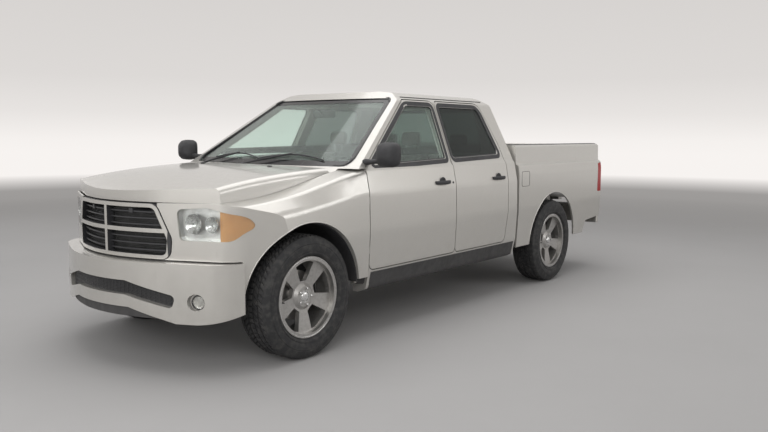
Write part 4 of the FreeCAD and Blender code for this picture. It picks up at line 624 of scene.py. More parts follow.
def tyres_and_wheels():
    """Detailed tyres in place of the plain ones, and trim on the wheels."""
    for end, side, s, centre in WHEELS:
        body = f"{end}_{side}_wheel"
        tyre = tyre_form(centre).piece(f"tread_{end}_{side}", "tyre_rubber", body, smooth=30)
        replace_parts(tyre, f"tyre_{end}_{side}")
        wheel_trim(end, side, s, centre, body)


def wheel_trim(end, side, s, centre, body):
    """Centre cap, nuts, valve and the bright ring inside the rim's lip."""
    node = f"wheel_{end}_{side}"
    outer = max(abs(corner.y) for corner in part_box(node))
    face = hit(node, (centre.x + 0.003, s * 1.3, centre.z), (0, -s, 0))
    face.x, face.z = centre.x, centre.z
    out = Vector((0, s, 0))
    trim = Form()
    trim.turned(((0.0005, 0.010), (0.020, 0.0095), (0.030, 0.006), (0.034, 0.0), (0.034, -0.004)), face, out, 40)
    trim.turned(((0.036, -0.003), (0.036, 0.003), (0.040, 0.0035), (0.042, 0.0), (0.042, -0.003)), face, out, 40)
    for number in range(5):
        spot = round_axle(face, 0.057, 2 * math.pi * (number + 0.5) / 5)
        trim.rod(spot - out * 0.004, spot + out * 0.010, 0.0085, steps=6)
        trim.rod(spot + out * 0.010, spot + out * 0.014, 0.0080, 0.0040, 12)
    trim.turned(((0.2600, -0.006), (0.2605, 0.000), (0.2655, 0.002), (0.2700, 0.000), (0.2705, -0.004)),
                (centre.x, s * (outer - 0.0015), centre.z), out, 96)
    trim.piece(f"wheel_trim_{end}_{side}", "chrome", body, smooth=40)
    root = Vector((centre.x + 0.232, s * (outer - 0.030), centre.z))
    valve = Form().rod(root, root + out * 0.030, 0.0045, steps=12)
    valve.rod(root + out * 0.030, root + out * 0.036, 0.0052, 0.0040, 12)
    valve.piece(f"valve_{end}_{side}", body=body)


def brakes():
    """A caliper over each disc, with its slide pins."""
    section = ((0.120, -0.032), (0.182, -0.036), (0.186, 0.0), (0.182, 0.026), (0.176, 0.026), (0.176, -0.020),
               (0.120, -0.020))
    for end, side, s, centre in WHEELS:
        hub = centre - Vector((0, s * 0.017, 0))
        front = end == "front"
        first, step = (150, 7.5) if front else (30, -7.5)
        form = Form().loft([[round_axle(hub, radius, math.radians(first + step * number), s * across)
                             for radius, across in section] for number in range(9)])
        for angle in (158, 202) if front else (22, -22):
            spot = round_axle(hub, 0.150, math.radians(angle))
            form.rod(spot - Vector((0, s * 0.060, 0)), spot - Vector((0, s * 0.030, 0)), 0.012, steps=16)
        form.piece(f"caliper_{end}_{side}", "engine_metal", f"{side}_knuckle" if front else "chassis", bevel=0.002)


# Panes, seals and wipers


def seals():
    """Rubber round each door pane, and the bonded border round the windscreen and the rear window."""
    for end, side, s, body in DOORS:
        outline = rim_of(f"glass_{end}_{side}", lambda p: True, 1)
        line = [Vector((p.x, p.y + s * 0.002, p.z)) for p in outline]
        strand(f"seal_{end}_{side}", [spaced(line, 0.02)], 0.0075, body=body, closed=True)
    for name, way in (("seal_windscreen", 1), ("seal_rear_window", -1)):
        outline = rim_of("cab_glass", lambda p: p.x * way > 0, 0)
        strand(name, [spaced(outermost(outline, way), 0.03)], 0.010, "gloss_black", closed=True)


def outermost(outline, way):
    """The outline's points brought to the pane's outer face."""
    points = [v.co for v in nodes["cab_glass"].data.vertices]
    moved = []
    for p in outline:
        near = [q.x * way for q in points if abs(q.y - p.y) < 0.012 and abs(q.z - p.z) < 0.012 and q.x * way > 0]
        moved.append(Vector((way * (max(near) + 0.001), p.y, p.z)))
    return moved


def wipers():
    """Two wipers parked at the foot of the windscreen."""
    for number, (pivot_x, pivot_y, tip_y) in enumerate(((1.545, -0.12, 0.62), (1.495, -0.68, -0.02))):
        blade = []
        for step in range(13):
            start = (2.4, pivot_y + (tip_y - pivot_y) * (0.12 + 0.88 * step / 12),
                     1.300 + 0.035 * math.sin(math.pi * step / 12))
            place = hit("cab_glass", start, (-1, 0, 0)) or hit("cab_shell", start, (-1, 0, 0))
            blade.append(place + Vector((0.010, 0, 0.006)))
        root = hit("cab_shell", (pivot_x, pivot_y, 1.5), (0, 0, -1)) + Vector((0, 0, 0.012))
        knee = blade[6] + Vector((0.014, 0, 0.006))
        strand(f"wiper_blade_{number}", [blade], 0.0055)
        strand(f"wiper_arm_{number}", [[root, root.lerp(knee, 0.5) + Vector((0.012, 0, 0.008)), knee]], 0.0075)
        pivot = Form().rod(root - Vector((0.004, 0, 0.018)), root + Vector((0.002, 0, 0.008)), 0.016, 0.014)
        pivot.piece(f"wiper_pivot_{number}", bevel=0.002)


def cowl_vents():
    """Slots of the air inlet under the windscreen."""
    form = Form()
    for place in hits("cowl", [(1.560, -0.69 + 0.0306 * number, 1.5) for number in range(46)], (0, 0, -1)):
        form.box((1.500, place.y, place.z - 0.010), (1.620, place.y + 0.012, place.z + 0.004))
    form.piece("cowl_vents", bevel=0.001)


# Handles and mirrors

HANDLE_X = {"front": 0.395, "rear": -0.500}
HANDLE_Z = 1.108
HANDLE_HALF = 0.105


def door_handles():
    """Black pull handles over shallow cups, each with a lock on the front doors."""
    for end, side, s, body in DOORS:
        node, x, inward = f"door_{end}_{side}", HANDLE_X[end], (0, -s, 0)
        rings = []
        for step in range(9):
            place = hit(node, (x - HANDLE_HALF + 2 * HANDLE_HALF * step / 8, s * 1.4, HANDLE_Z), inward)
            arch = math.sin(math.pi * step / 8)
            lift = 0.034 * arch ** 0.6 if 0 < step < 8 else 0.002
            spot, tall = place + Vector((0, s * lift, 0.004)), 0.013 + 0.004 * arch
            rings.append([spot + Vector((0, s * 0.008 * math.cos(a), tall * math.sin(a))) for a in turns(12)])
        form = Form().loft(rings)
        cup = hit(node, (x, s * 1.4, HANDLE_Z), inward) + Vector((0, s * 0.0008, 0.002))
        form.turned(((0.001, 0.0), (0.030, 0.0008), (0.040, 0.003), (0.044, 0.001), (0.045, -0.002)), cup, (0, s, 0),
                    36)
        if end == "front":
            lock = hit(node, (x - 0.150, s * 1.4, HANDLE_Z - 0.004), inward)
            form.rod(lock - Vector((0, s * 0.002, 0)), lock + Vector((0, s * 0.003, 0)), 0.010, 0.009, 20)
        form.piece(f"handle_{end}_{side}", body=body, smooth=50)


def squared(centre, a, b, power):
    """A squarish oval across the truck round a centre."""
    return [centre + Vector((0, a * math.copysign(abs(c) ** power, c), b * math.copysign(abs(n) ** power, n)))
            for c, n in ((math.cos(angle), math.sin(angle)) for angle in turns(28))]


def mirrors():
    """Mirror housings with a soft outer form, on their arms, and the silvered plate behind."""
    for side, s in SIDES:
        node, body = f"mirror_{side}", f"front_{side}_door"
        low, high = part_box(node)
        inner, outer = (low.y, high.y) if s > 0 else (high.y, low.y)
        body_in = inner + 0.38 * (outer - inner)
        centre = Vector((low.x, (body_in + outer) / 2, (low.z + high.z) / 2))
        half_y, half_z = abs(outer - body_in) / 2, (high.z - low.z) / 2
        long = high.x - low.x
        shell = Form().loft([
            squared(centre + Vector((long * share, 0, -0.004 * share)), half_y * grow, half_z * grow, 0.55)
            for share, grow in ((0.0, 0.90), (0.10, 0.97), (0.30, 1.0), (0.55, 0.95), (0.80, 0.72), (0.95, 0.40),
                                (1.0, 0.16))])
        root = Vector((low.x + 0.04, inner, low.z + 0.03))
        foot, head = root - Vector((0, s * 0.004, 0)), Vector((root.x, body_in + s * 0.02, root.z + 0.012))
        shell.loft([[foot.lerp(head, t) + Vector((half_x * math.cos(a), 0, half_up * math.sin(a))) for a in turns(16)]
                    for t, half_x, half_up in ((0.0, 0.045, 0.026), (0.3, 0.030, 0.019), (0.7, 0.026, 0.017),
                                               (1.0, 0.030, 0.020))])
        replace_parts(shell.piece(f"mirror_housing_{side}", body=body, smooth=45), node)
        outline = squared(centre - Vector((0.001, 0, 0)), half_y * 0.80, half_z * 0.80, 0.5)
        Form().plate(outline, (0.002, 0, 0)).piece(f"mirror_plate_{side}", "chrome", body, slot="window_glass")


# Nose


def faces_of(node, wanted, shift):
    """Chosen faces of a CAD node as a new mesh, moved along their normals; a form for a cap or a lens."""
    form = Form()
    source = nodes[node].data
    chosen = [face for face in source.polygons if wanted(face.center, face.normal)]
    normals, made = {}, {}

    def key_of(index):
        return tuple(round(c, 5) for c in source.vertices[index].co)

    for face in chosen:
        for key in map(key_of, face.vertices):
            normals[key] = normals.get(key, Vector()) + face.normal * face.area
    for face in chosen:
        corners = []
        for key in map(key_of, face.vertices):
            if key not in made:
                made[key] = form.mesh.verts.new(Vector(key) + normals[key].normalized() * shift)
            corners.append(made[key])
        if len(set(corners)) == len(corners):
            form.mesh.faces.new(corners)
    return form


def grille_cap():
    """Painted cap over the grille's surround and bars, and a fine screen behind the slats."""
    line = {}

    def surface(y):
        key = round(abs(y), 2)
        if key not in line:
            line[key] = max((p.x for p in hits("grille", [(4.0, key, z) for z in (1.050, 0.894, 0.728)], (-1, 0, 0))),
                            default=-9)
        return line[key]

    cap = faces_of("grille", lambda c, n: n.x > 0.6 and abs(c.x - surface(c.y)) < 0.006, 0.0022)
    walled(cap, 0.0035).piece("grille_cap", "body_paint", smooth=30)
    screen = []
    for number in range(28):
        z = 0.750 + 0.0098 * number
        side = 0.482 - max(0.0, z - 0.85) * 0.44
        screen.append([(surface(side * k / 14) - 0.050, side * k / 14, z) for k in range(-14, 15)])
    strand("grille_screen", screen, 0.0014, "grille_dark")


def lamp_bucket(wanted, s):
    """Side walls and back of a headlamp's inside."""
    form = faces_of("headlamps", wanted, -0.004)
    mesh = form.mesh
    rim = [e for e in mesh.edges if len(e.link_faces) == 1]
    back = {v: mesh.verts.new(v.co - Vector((0.046, 0.012 * s, 0))) for v in list(mesh.verts)}
    for face in list(mesh.faces):
        mesh.faces.new([back[v] for v in face.verts])
        mesh.faces.remove(face)
    for a, b in (edge.verts for edge in rim):
        mesh.faces.new((a, b, back[b], back[a]))
    bmesh.ops.delete(mesh, geom=[v for v in mesh.verts if not v.link_faces], context="VERTS")
    return form


def headlamps():
    """Clear lens, silvered bucket, two bowls with bulbs and an amber turn lamp at the outer end."""
    for side, s in SIDES:
        def outer(c, n, s=s):
            return c.y * s > 0 and n.x + 0.6 * s * n.y > 0.42 and abs(n.z) < 0.5
        lens = walled(faces_of("headlamps", outer, 0.0), 0.0025)
        lens = lens.piece(f"headlamp_lens_{side}", "lamp_clear", smooth=40)
        lamp_bucket(outer, s).piece(f"headlamp_bucket_{side}", "lamp_bowl", slot="lamp_clear", smooth=40)
        bowls, bulbs = Form(), Form()
        aim = Vector((1, 0.2 * s, 0)).normalized()
        for y, z, radius in ((0.640, 0.942, 0.058), (0.752, 0.938, 0.045)):
            mouth = hit("headlamps", (4.0, s * y, z), (-1, 0, 0)) - Vector((0.014, 0, 0))
            bowls.turned([(radius * t, -0.034 * (1 - t * t)) for t in (0.12, 0.3, 0.5, 0.7, 0.85, 1.0)]
                         + [(radius + 0.004, 0.002), (radius + 0.006, -0.004)], mouth, aim, 40)
            bulbs.turned(((0.0005, 0.002), (0.006, 0.0), (0.009, -0.005), (0.009, -0.030)), mouth, aim, 20)
        bowls.piece(f"headlamp_bowls_{side}", "chrome", slot="lamp_clear", smooth=50)
        bulbs.piece(f"headlamp_bulbs_{side}", "lamp_clear", smooth=50)
        amber = trimmed(faces_of("headlamps", outer, -0.005), Vector((2.54, 0.812 * s, 0)), Vector((0.25, -s, 0)))
        walled(amber, 0.010).piece(f"turn_lamp_{side}", "lamp_amber", smooth=40)
        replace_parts(lens, "headlamps")


def bumper_x(y):
    """Front face of the bumper at a place across the truck."""
    return hit("front_bumper", (4.0, y, 0.63), (-1, 0, 0)).x


def intake_edge(y, middle, end):
    """Height of the intake's arched edge at a place across the truck."""
    return middle + (end - middle) * min(1.0, max(0.0, (abs(y) - 0.26) / 0.33))


def bumper_parts():
    """Dark screen in the arched air intake, a valance behind the arched foot, and round fog lamps."""
    across = [-0.585 + 0.0325 * k for k in range(37)]
    foot = (0.492, 0.422)
    screen = [[(bumper_x(y) - 0.030, y, intake_edge(y, *foot) + level * 0.0095) for y in across]
              for level in range(1, 9)]
    screen += [[(bumper_x(y) - 0.033, y, intake_edge(y, *foot) + rise) for rise in (0.003, 0.03, 0.055, 0.080)]
               for y in across]
    strand("intake_screen", screen, 0.0020, "grille_dark")
    for name, edges, back, material in (
            ("intake_back", ((0.485, 0.415), (0.588, 0.512)), 0.037, "grille_dark"),
            ("valance", ((0.352, 0.352), (0.425, 0.348)), 0.020, "black_plastic")):
        rings = []
        for y in across:
            low, high = (intake_edge(y, *edge) for edge in edges)
            if high - low > 0.006:
                rings.append([(bumper_x(y) - back - deep, y, z)
                              for deep, z in ((0, low), (0, high), (0.004, high), (0.004, low))])
        Form().loft(rings).piece(name, material, smooth=50)
    lens, rims = Form(), Form()
    for s in (1, -1):
        place, normal = cast("front_bumper", (4.0, s * 0.730, 0.470), (-1, 0, 0))
        if place is None:
            continue
        out = Vector((abs(normal.x), normal.y if normal.x > 0 else -normal.y, 0)).normalized()
        spot = place + out * 0.010
        lens.turned(((0.0002, 0.006), (0.020, 0.005), (0.036, 0.001), (0.040, -0.004), (0.040, -0.008)), spot, out,
                    36)
        rims.turned(((0.040, -0.008), (0.040, 0.002), (0.043, 0.004), (0.047, 0.002), (0.0475, -0.008)), spot, out,
                    36)
    lens.piece("fog_lamps", "lamp_clear", smooth=60)
    rims.piece("fog_lamp_rims", smooth=60)


def hood_parts():
    """Washer jets in front of the windscreen."""
    jets = Form()
    for place in hits("hood", [(1.72, y, 2.0) for y in (-0.38, 0.38)], (0, 0, -1)):
        jets.box(place + Vector((-0.012, -0.016, -0.002)), place + Vector((0.012, 0.016, 0.007)))
    jets.piece("washer_jets", body="hood_panel", bevel=0.003)


# Glass borders and window surrounds

FRONT_PANE = ((1.222, 1.274, 0.026), (0.556, 1.729, 0.046), (0.196, 1.729, 0.030), (0.260, 1.300, 0.024))
REAR_PANE = ((0.150, 1.301, 0.024), (0.086, 1.729, 0.030), (-0.544, 1.729, 0.070), (-0.610, 1.320, 0.040))
WINDSCREEN = ((-0.872, 1.264, 0.050), (-0.640, 1.789, 0.060), (0.640, 1.789, 0.060), (0.872, 1.264, 0.050))
REAR_SCREEN = ((-0.650, 1.322, 0.050), (-0.560, 1.735, 0.060), (0.560, 1.735, 0.060), (0.650, 1.322, 0.050))


def glass_borders():
    """Dark film on the rear window, printed edges of both screens, and black frames round the side windows."""
    tint = faces_of("cab_glass", lambda c, n: n.x < -0.5 and c.x < 0, 0.0012)
    walled(tint, 0.0008).piece("rear_screen_tint", "window_glass", smooth=60)
    for name, corners, way, wide in (("windscreen_edge", WINDSCREEN, (-1, 0, 0), -0.036),
                                     ("rear_screen_edge", REAR_SCREEN, (1, 0, 0), -0.028)):
        outer = grown(ring_of(corners, pitch=0.04), -0.001)
        band = border("cab_glass", way, grown(outer, wide), outer, 0.0012)
        walled(band, 0.0009).piece(name, "gloss_black", smooth=60)
    for end, side, s, body in DOORS:
        inner = grown(ring_of(FRONT_PANE if end == "front" else REAR_PANE, pitch=0.03), 0.002)
        outer = [Vector((p.x, max(p.y, 1.252))) for p in grown(inner, 0.034)]
        band = border(f"door_{end}_{side}", (0, -s, 0), inner, outer, 0.0012)
        walled(band, 0.0008).piece(f"window_frame_{end}_{side}", body=body, smooth=60)


# Load bed and tail


def bed_liner():
    """Ribbed liner on the load floor, and tie-down loops on the walls."""
    floor_z, rib_z, under_z = 0.8885, 0.8945, 0.8872
    section = []
    for middle in (0.068 * number for number in range(-9, 10)):
        section += [(middle + dy, z) for dy, z in ((-0.034, floor_z), (-0.020, floor_z), (-0.014, rib_z),
                                                   (0.014, rib_z), (0.020, floor_z))]
    section += [(0.6, under_z), (-0.6, under_z)]
    liner = Form().loft([[(x, y, z) for y, z in section] for x in (-2.686, -0.912)])
    liner.piece("bed_liner", "bed_liner", bevel=0.002)
    loops = []
    plates = Form()
    for s in (1, -1):
        for x in (-2.62, -1.0):
            centre = Vector((x, s * 0.8425, 1.02))
            plates.box(centre + Vector((-0.022, -0.001 * s, -0.03)), centre + Vector((0.022, -0.006 * s, 0.03)))
            loops.append([centre + Vector((0.020 * math.cos(a), -s * (0.008 + 0.022 * max(0, math.sin(a))),
                                           -0.004 - 0.02 * math.sin(a)))
                          for a in (math.pi * k / 8 for k in range(9))])
    plates.piece("tie_down_plates", "frame_black", bevel=0.002)
    strand("tie_downs", loops, 0.004, "frame_black")


def rail_caps():
    """Black caps on the load bed's rails."""
    for side, s in SIDES:
        Form().loft([[(x, s * y, z - narrow * 0.3) for y, z in (
            (0.846 + narrow, 1.3995), (0.846 + narrow, 1.4035), (0.856, 1.4065), (0.915, 1.4065),
            (0.932 - narrow, 1.4020), (0.934 - narrow, 1.3985))]
            for x, narrow in ((-2.780, 0.006), (-2.770, 0.0), (-0.880, 0.0), (-0.876, 0.006))]).piece(
                f"rail_cap_{side}", smooth=40)


def tail_lamp_parts():
    """Clear reversing windows and bright dividers in each tail lamp."""
    for side, s in SIDES:
        laid(f"reverse_lamp_{side}", "lamp_clear", "chassis", "tail_lamps", (1, 0, 0), (s * 0.900, s * 0.972),
             (0.985, 1.048), 0.0012, 0.0006, (6, 4))
        lines = [hits("tail_lamps", [(-4.0, s * y, z) for y in (0.893, 0.91, 0.93, 0.95, 0.97, 0.985)], (1, 0, 0))
                 for z in (0.978, 1.055)]
        strand(f"lamp_dividers_{side}", lines, 0.0022, "chrome")


def tailgate_parts():
    """Handle in its cup, and a lock beside it."""
    for name, material, x, edges, radius, deep, bevel in (
            ("tailgate_handle", "black_plastic", -2.781, (-0.078, 0.078, 1.238, 1.276), 0.014, 0.007, 0.002),
            ("handle_cup", "gloss_black", -2.7605, (-0.094, 0.094, 1.2312, 1.2988), 0.004, -0.002, 0.0)):
        ring = [(x, y, z) for y, z in rounded(*edges, radius)]
        Form().plate(ring, (deep, 0, 0)).piece(name, material, "tailgate_panel", bevel=bevel)
    lock = Form().turned(((0.0001, 0.004), (0.006, 0.004), (0.0085, 0.0025), (0.0095, -0.003)),
                         (-2.7855, 0.14, 1.262), (-1, 0, 0), 24)
    lock.piece("tailgate_lock", "chrome", "tailgate_panel", smooth=40)


def rear_bumper_parts():
    """Step pads with ridges, a blank plate with its lamps, and the receiver under the bumper."""
    pads, lamps, hitch = Form(), Form(), Form()
    for s in (1, -1):
        pads.plate([(x, y, 0.7002) for x, y in rounded(-2.880, -2.800, *sorted((s * 0.17, s * 0.62)), 0.012)],
                   (0, 0, 0.004))
        for y in (s * (0.20 + 0.048 * k) for k in range(9)):
            pads.box((-2.872, y - 0.007, 0.7038), (-2.808, y + 0.007, 0.7062))
    pads.piece("step_pads", bevel=0.001)
    plate = Form().plate([(-2.8935, y, z) for y, z in rounded(-0.152, 0.152, 0.525, 0.677, 0.010)], (0.0015, 0, 0))
    plate.piece("plate_blank", "lamp_bowl", slot="body_paint")
    edge = [(-2.8940, y, z) for y, z in rounded(-0.156, 0.156, 0.521, 0.681, 0.012)]
    strand("plate_frame", [edge], 0.003, closed=True, smooth=False)
    for y in (-0.085, 0.085):
        lamps.rod((-2.8925, y - 0.02, 0.6885), (-2.8925, y + 0.02, 0.6885), 0.006)
    lamps.piece("plate_lamps", "lamp_clear", smooth=40)
    for y0, y1, z0, z1 in ((-0.034, -0.026, 0.418, 0.482), (0.026, 0.034, 0.418, 0.482),
                           (-0.034, 0.034, 0.482, 0.490), (-0.034, 0.034, 0.410, 0.418)):
        hitch.box((-2.868, y0, z0), (-2.700, y1, z1))
    hitch.rod((-2.700, -0.372, 0.450), (-2.700, 0.372, 0.450), 0.030)
    for s in (1, -1):
        hitch.box((-2.735, s * 0.366, 0.420), (-2.665, s * 0.374, 0.640))
    hitch.piece("tow_receiver", "frame_black", bevel=0.002)


def brake_lamp_high():
    """High brake lamp in the roof's rear edge."""
    laid("high_brake_lamp", "lamp_red", "chassis", "cab_shell", (1, 0, 0), (-0.16, 0.16), (1.795, 1.823), 0.004,
         0.006, (16, 4), smooth=50)


def filler_door():
    """Fuel filler door in the left side of the load bed."""
    starts = [(x, 3.0, z) for x, z in rounded(-1.075, -0.925, 1.010, 1.150, 0.022)]
    outline = [place + Vector((0, 0.0004, 0)) for place in hits("bedside_left", starts, (0, -1, 0))]
    strand("filler_seam", [outline], 0.0018, "gloss_black", closed=True, smooth=False)


# Arches, painted shade on the sills, and mouldings

ARCH_RADIUS = 0.5035


def arch_edges():
    """Rolled edges round the four wheel openings."""
    for end, side, s, centre in WHEELS:
        node = f"fender_{side}" if end == "front" else f"bedside_{side}"
        start = Vector((centre.x, s * 3.0, centre.z))
        starts = [round_axle(start, ARCH_RADIUS, math.radians(2 + 176 * step / 40)) for step in range(41)]
        line = [place - Vector((0, s * 0.001, 0)) for place in hits(node, starts, (0, -s, 0)) if abs(place.y) > 0.80]
        strand(f"arch_edge_{end}_{side}", [line], 0.0042, "body_paint")


def sill_shade_strips():
    """Dark grained strips along the sills: painted shade, a dark sheet where the lower body is in shadow."""
    for side, s in SIDES:
        # Painted shade: dark plastic laid on the cab's sills from 0.362 m to 0.500 m, where the lower body falls in
        # shadow.
        laid(f"sill_shade_strip_{side}", "black_plastic", "chassis", "cab_shell", (0, -s, 0), (-0.800, 1.375),
             (0.362, 0.500), 0.0035, 0.003, (30, 8), smooth=50)


def roof_mouldings():
    """Black strips in the roof's side channels."""
    for side, s in SIDES:
        starts = [(-0.70 + 1.24 * step / 29, s * 0.662, 3.0) for step in range(30)]
        line = [place + Vector((0, 0, 0.0008)) for place in hits("cab_shell", starts, (0, 0, -1))]
        strand(f"roof_strip_{side}", [line], 0.0045)


# Cabin

STUFFING_PRESSURE = 4.0
STUFFING_FRAMES = 20
DRIVER_Y = 0.385
FLAT_SHARE = 0.58


def shown_mesh(thing):
    """A mesh as the thing's modifiers leave it."""
    graph = bpy.context.evaluated_depsgraph_get()
    return bpy.data.meshes.new_from_object(thing.evaluated_get(graph))


def swollen(form, voxel, cap, sewn):
    """A closed form blown up as stuffed cloth; sewn says which points stay down. Gives the mesh."""
    bmesh.ops.recalc_face_normals(form.mesh, faces=form.mesh.faces)
    data = bpy.data.meshes.new("pad")
    form.mesh.to_mesh(data)
    form.mesh.free()
    thing = bpy.data.objects.new("pad", data)
    bpy.context.collection.objects.link(thing)
    even = thing.modifiers.new("even", "REMESH")
    even.mode = "VOXEL"
    even.voxel_size = voxel
    thing.data = shown_mesh(thing)
    thing.modifiers.clear()
    before = [v.co.copy() for v in thing.data.vertices]
    group = thing.vertex_groups.new(name="sewn")
    group.add([v.index for v in thing.data.vertices if sewn(v.co)], 1.0, "REPLACE")
    settings = thing.modifiers.new("stuffing", "CLOTH").settings
    settings.quality = 4
    settings.use_pressure = True
    settings.uniform_pressure_force = STUFFING_PRESSURE
    settings.effector_weights.gravity = 0
    settings.vertex_group_mass = "sewn"
    for step in range(1, STUFFING_FRAMES + 1):
        bpy.context.scene.frame_set(step)
    after = shown_mesh(thing)
    thing.modifiers.clear()
    bpy.context.scene.frame_set(1)
    for vertex, old, new in zip(thing.data.vertices, before, after.vertices):
        move = new.co - old
        vertex.co = old + move * min(1.0, cap / max(move.length, 1e-9))
    result = thing.data
    bpy.data.objects.remove(thing)
    return result


def pad(name, data, seams):
    """A padded piece in seat cloth, with piping laid along its seams."""
    data.shade_smooth()
    thing = added(name, data, "seat_cloth", "chassis")
    smoother = thing.modifiers.new("smooth", "SUBSURF")
    smoother.levels = smoother.render_levels = 1
    tree = tree_of(data)
    lines = []
    for seam in seams:
        nearest = [tree.find_nearest(Vector(point)) for point in seam]
        lines.append([place + normal * 0.0006 for place, normal, _, _ in nearest])
    if lines:
        strand(f"{name}_seams", lines, 0.0022, "cabin_plastic")
    return thing


def across_pad(half, low, high, bolster):
    """A pad's section: flat middle, raised bolsters and sides that pull in, as (across, height) pairs."""
    upper = [(1.0, -0.022), (0.90, 0.6 * bolster), (0.74, bolster), (FLAT_SHARE, 0.0)]
    points = [(-half * a, high + b) for a, b in upper] + [(0.0, high + 0.004)]
    points += [(half * a, high + b) for a, b in reversed(upper)]
    return points + [(half, low + 0.02), (half * 0.92, low), (-half * 0.92, low), (-half, low + 0.02)]


def seat(prefix, middle, half, shift, drop, bolster, voxel):
    """Cushion, back and their seams for one place; shift is along X and drop lowers the back."""
    edge = half * FLAT_SHARE
    rows, levels = (0.32, 0.45), (1.02, 1.15)
    cushion = Form().loft([[(x + shift, middle + a, z) for a, z in across_pad(half - pull, low, high, bolster)]
                           for x, low, high, pull in (
                               (0.175, 0.835, 0.905, 0.012), (0.21, 0.815, 0.918, 0.0), (0.36, 0.80, 0.915, 0.0),
                               (0.52, 0.80, 0.925, 0.0), (0.592, 0.80, 0.922, 0.0), (0.615, 0.82, 0.895, 0.012))])
    back = Form().loft([[(x + shift, middle + a, z - drop * (z - 0.85) / 0.5)
                         for a, x in across_pad(half - pull, rear, front, bolster)]
                        for z, rear, front, pull in (
                            (0.85, 0.112, 0.205, 0.012), (0.90, 0.098, 0.218, 0.0), (1.00, 0.088, 0.208, 0.0),
                            (1.15, 0.070, 0.168, 0.010), (1.28, 0.056, 0.120, 0.024), (1.325, 0.058, 0.095, 0.045))])

    def front_at(z):
        return 0.208 - (z - 1.0) * 0.28

    def on_seam(p, along, crossing):
        a = abs(p.y - middle)
        return abs(a - edge) < voxel * 0.6 or (a < edge and min(abs(along - c) for c in crossing) < voxel * 0.6)

    def sewn_cushion(p):
        return p.z < 0.806 or (p.z > 0.88 and on_seam(p, p.x - shift, rows))

    def sewn_back(p):
        x = p.x - shift
        return x < 0.095 - (p.z - 0.85) * 0.09 or (x > front_at(p.z) - 0.03 and on_seam(p, p.z, levels))

    cushion_mesh = swollen(cushion, voxel, 0.024, sewn_cushion)
    back_mesh = swollen(back, voxel, 0.022, sewn_back)
    sides = (middle + edge, middle - edge)
    width = [middle + edge * k / 4 for k in range(-4, 5)]
    seams = [[(x + shift, y, 0.93) for x in (0.20, 0.28, 0.36, 0.44, 0.52, 0.60)] for y in sides]
    seams += [[(x + shift, y, 0.93) for y in width] for x in rows]
    pad(f"{prefix}_cushion", cushion_mesh, seams)
    seams = [[(front_at(z) + shift + 0.01, y, z) for z in (0.90, 0.98, 1.06, 1.14, 1.22, 1.28)] for y in sides]
    seams += [[(front_at(z) + shift + 0.01, y, z) for y in width] for z in levels]
    return pad(f"{prefix}_back", back_mesh, seams)


def headrest(prefix, middle, shift, drop):
    """A small pad on two bright posts."""
    form = Form().loft([[(x + shift, middle + a, z - drop) for a, x in across_pad(half, 0.052, front, 0.0)]
                        for z, half, front in ((1.400, 0.080, 0.085), (1.415, 0.096, 0.096), (1.465, 0.100, 0.098),
                                               (1.505, 0.092, 0.094), (1.518, 0.074, 0.084))])
    pad(f"{prefix}_headrest", swollen(form, 0.009, 0.014, lambda p: p.z < 1.405 - drop), [])
    posts = [[(0.078 + shift, middle + y, z - drop) for z in (1.30, 1.36, 1.43)] for y in (-0.045, 0.045)]
    strand(f"{prefix}_posts", posts, 0.006, "chrome")


def seat_base(name, x0, x1, y0, y1):
    """Dark base under a seat, with its rails."""
    outline = rounded(x0, x1, y0, y1, 0.03, 6)
    Form().loft([[(p.x, p.y, z) for p in grown(outline, grow)] for z, grow in (
        (0.6265, -0.03), (0.640, -0.03), (0.66, 0.0), (0.735, 0.004), (0.775, -0.004))]).piece(
            name, "cabin_plastic", smooth=50)


def seats():
    """Two front seats and a bench in two parts, on their bases."""
    for side, s in SIDES:
        back = seat(f"seat_{side}", s * 0.430, 0.208, 0.0, 0.0, 0.020, 0.014)
        headrest(f"seat_{side}", s * 0.430, 0.0, 0.0)
        seat_base(f"seat_base_{side}", 0.20, 0.585, *sorted((s * 0.225, s * 0.635)))
    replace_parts(back, "front_seats")
    for name, middle, half in (("bench_left", 0.4175, 0.262), ("bench_right", -0.2775, 0.402)):
        back = seat(name, middle, half, -0.78, 0.02, 0.006, 0.018)
    for name, middle in (("bench_left", 0.42), ("bench_right", -0.42)):
        headrest(name, middle, -0.78, 0.02)
    seat_base("bench_base", -0.575, -0.20, -0.66, 0.66)
    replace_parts(back, "rear_bench")


def tilted(place, axis):
    """A frame whose Z runs along an axis and whose Y stays level."""
    z = Vector(axis).normalized()
    y = Vector((0, 1, 0))
    x = y.cross(z).normalized()
    return Matrix.Translation(place) @ Matrix((x, y, z)).transposed().to_4x4()


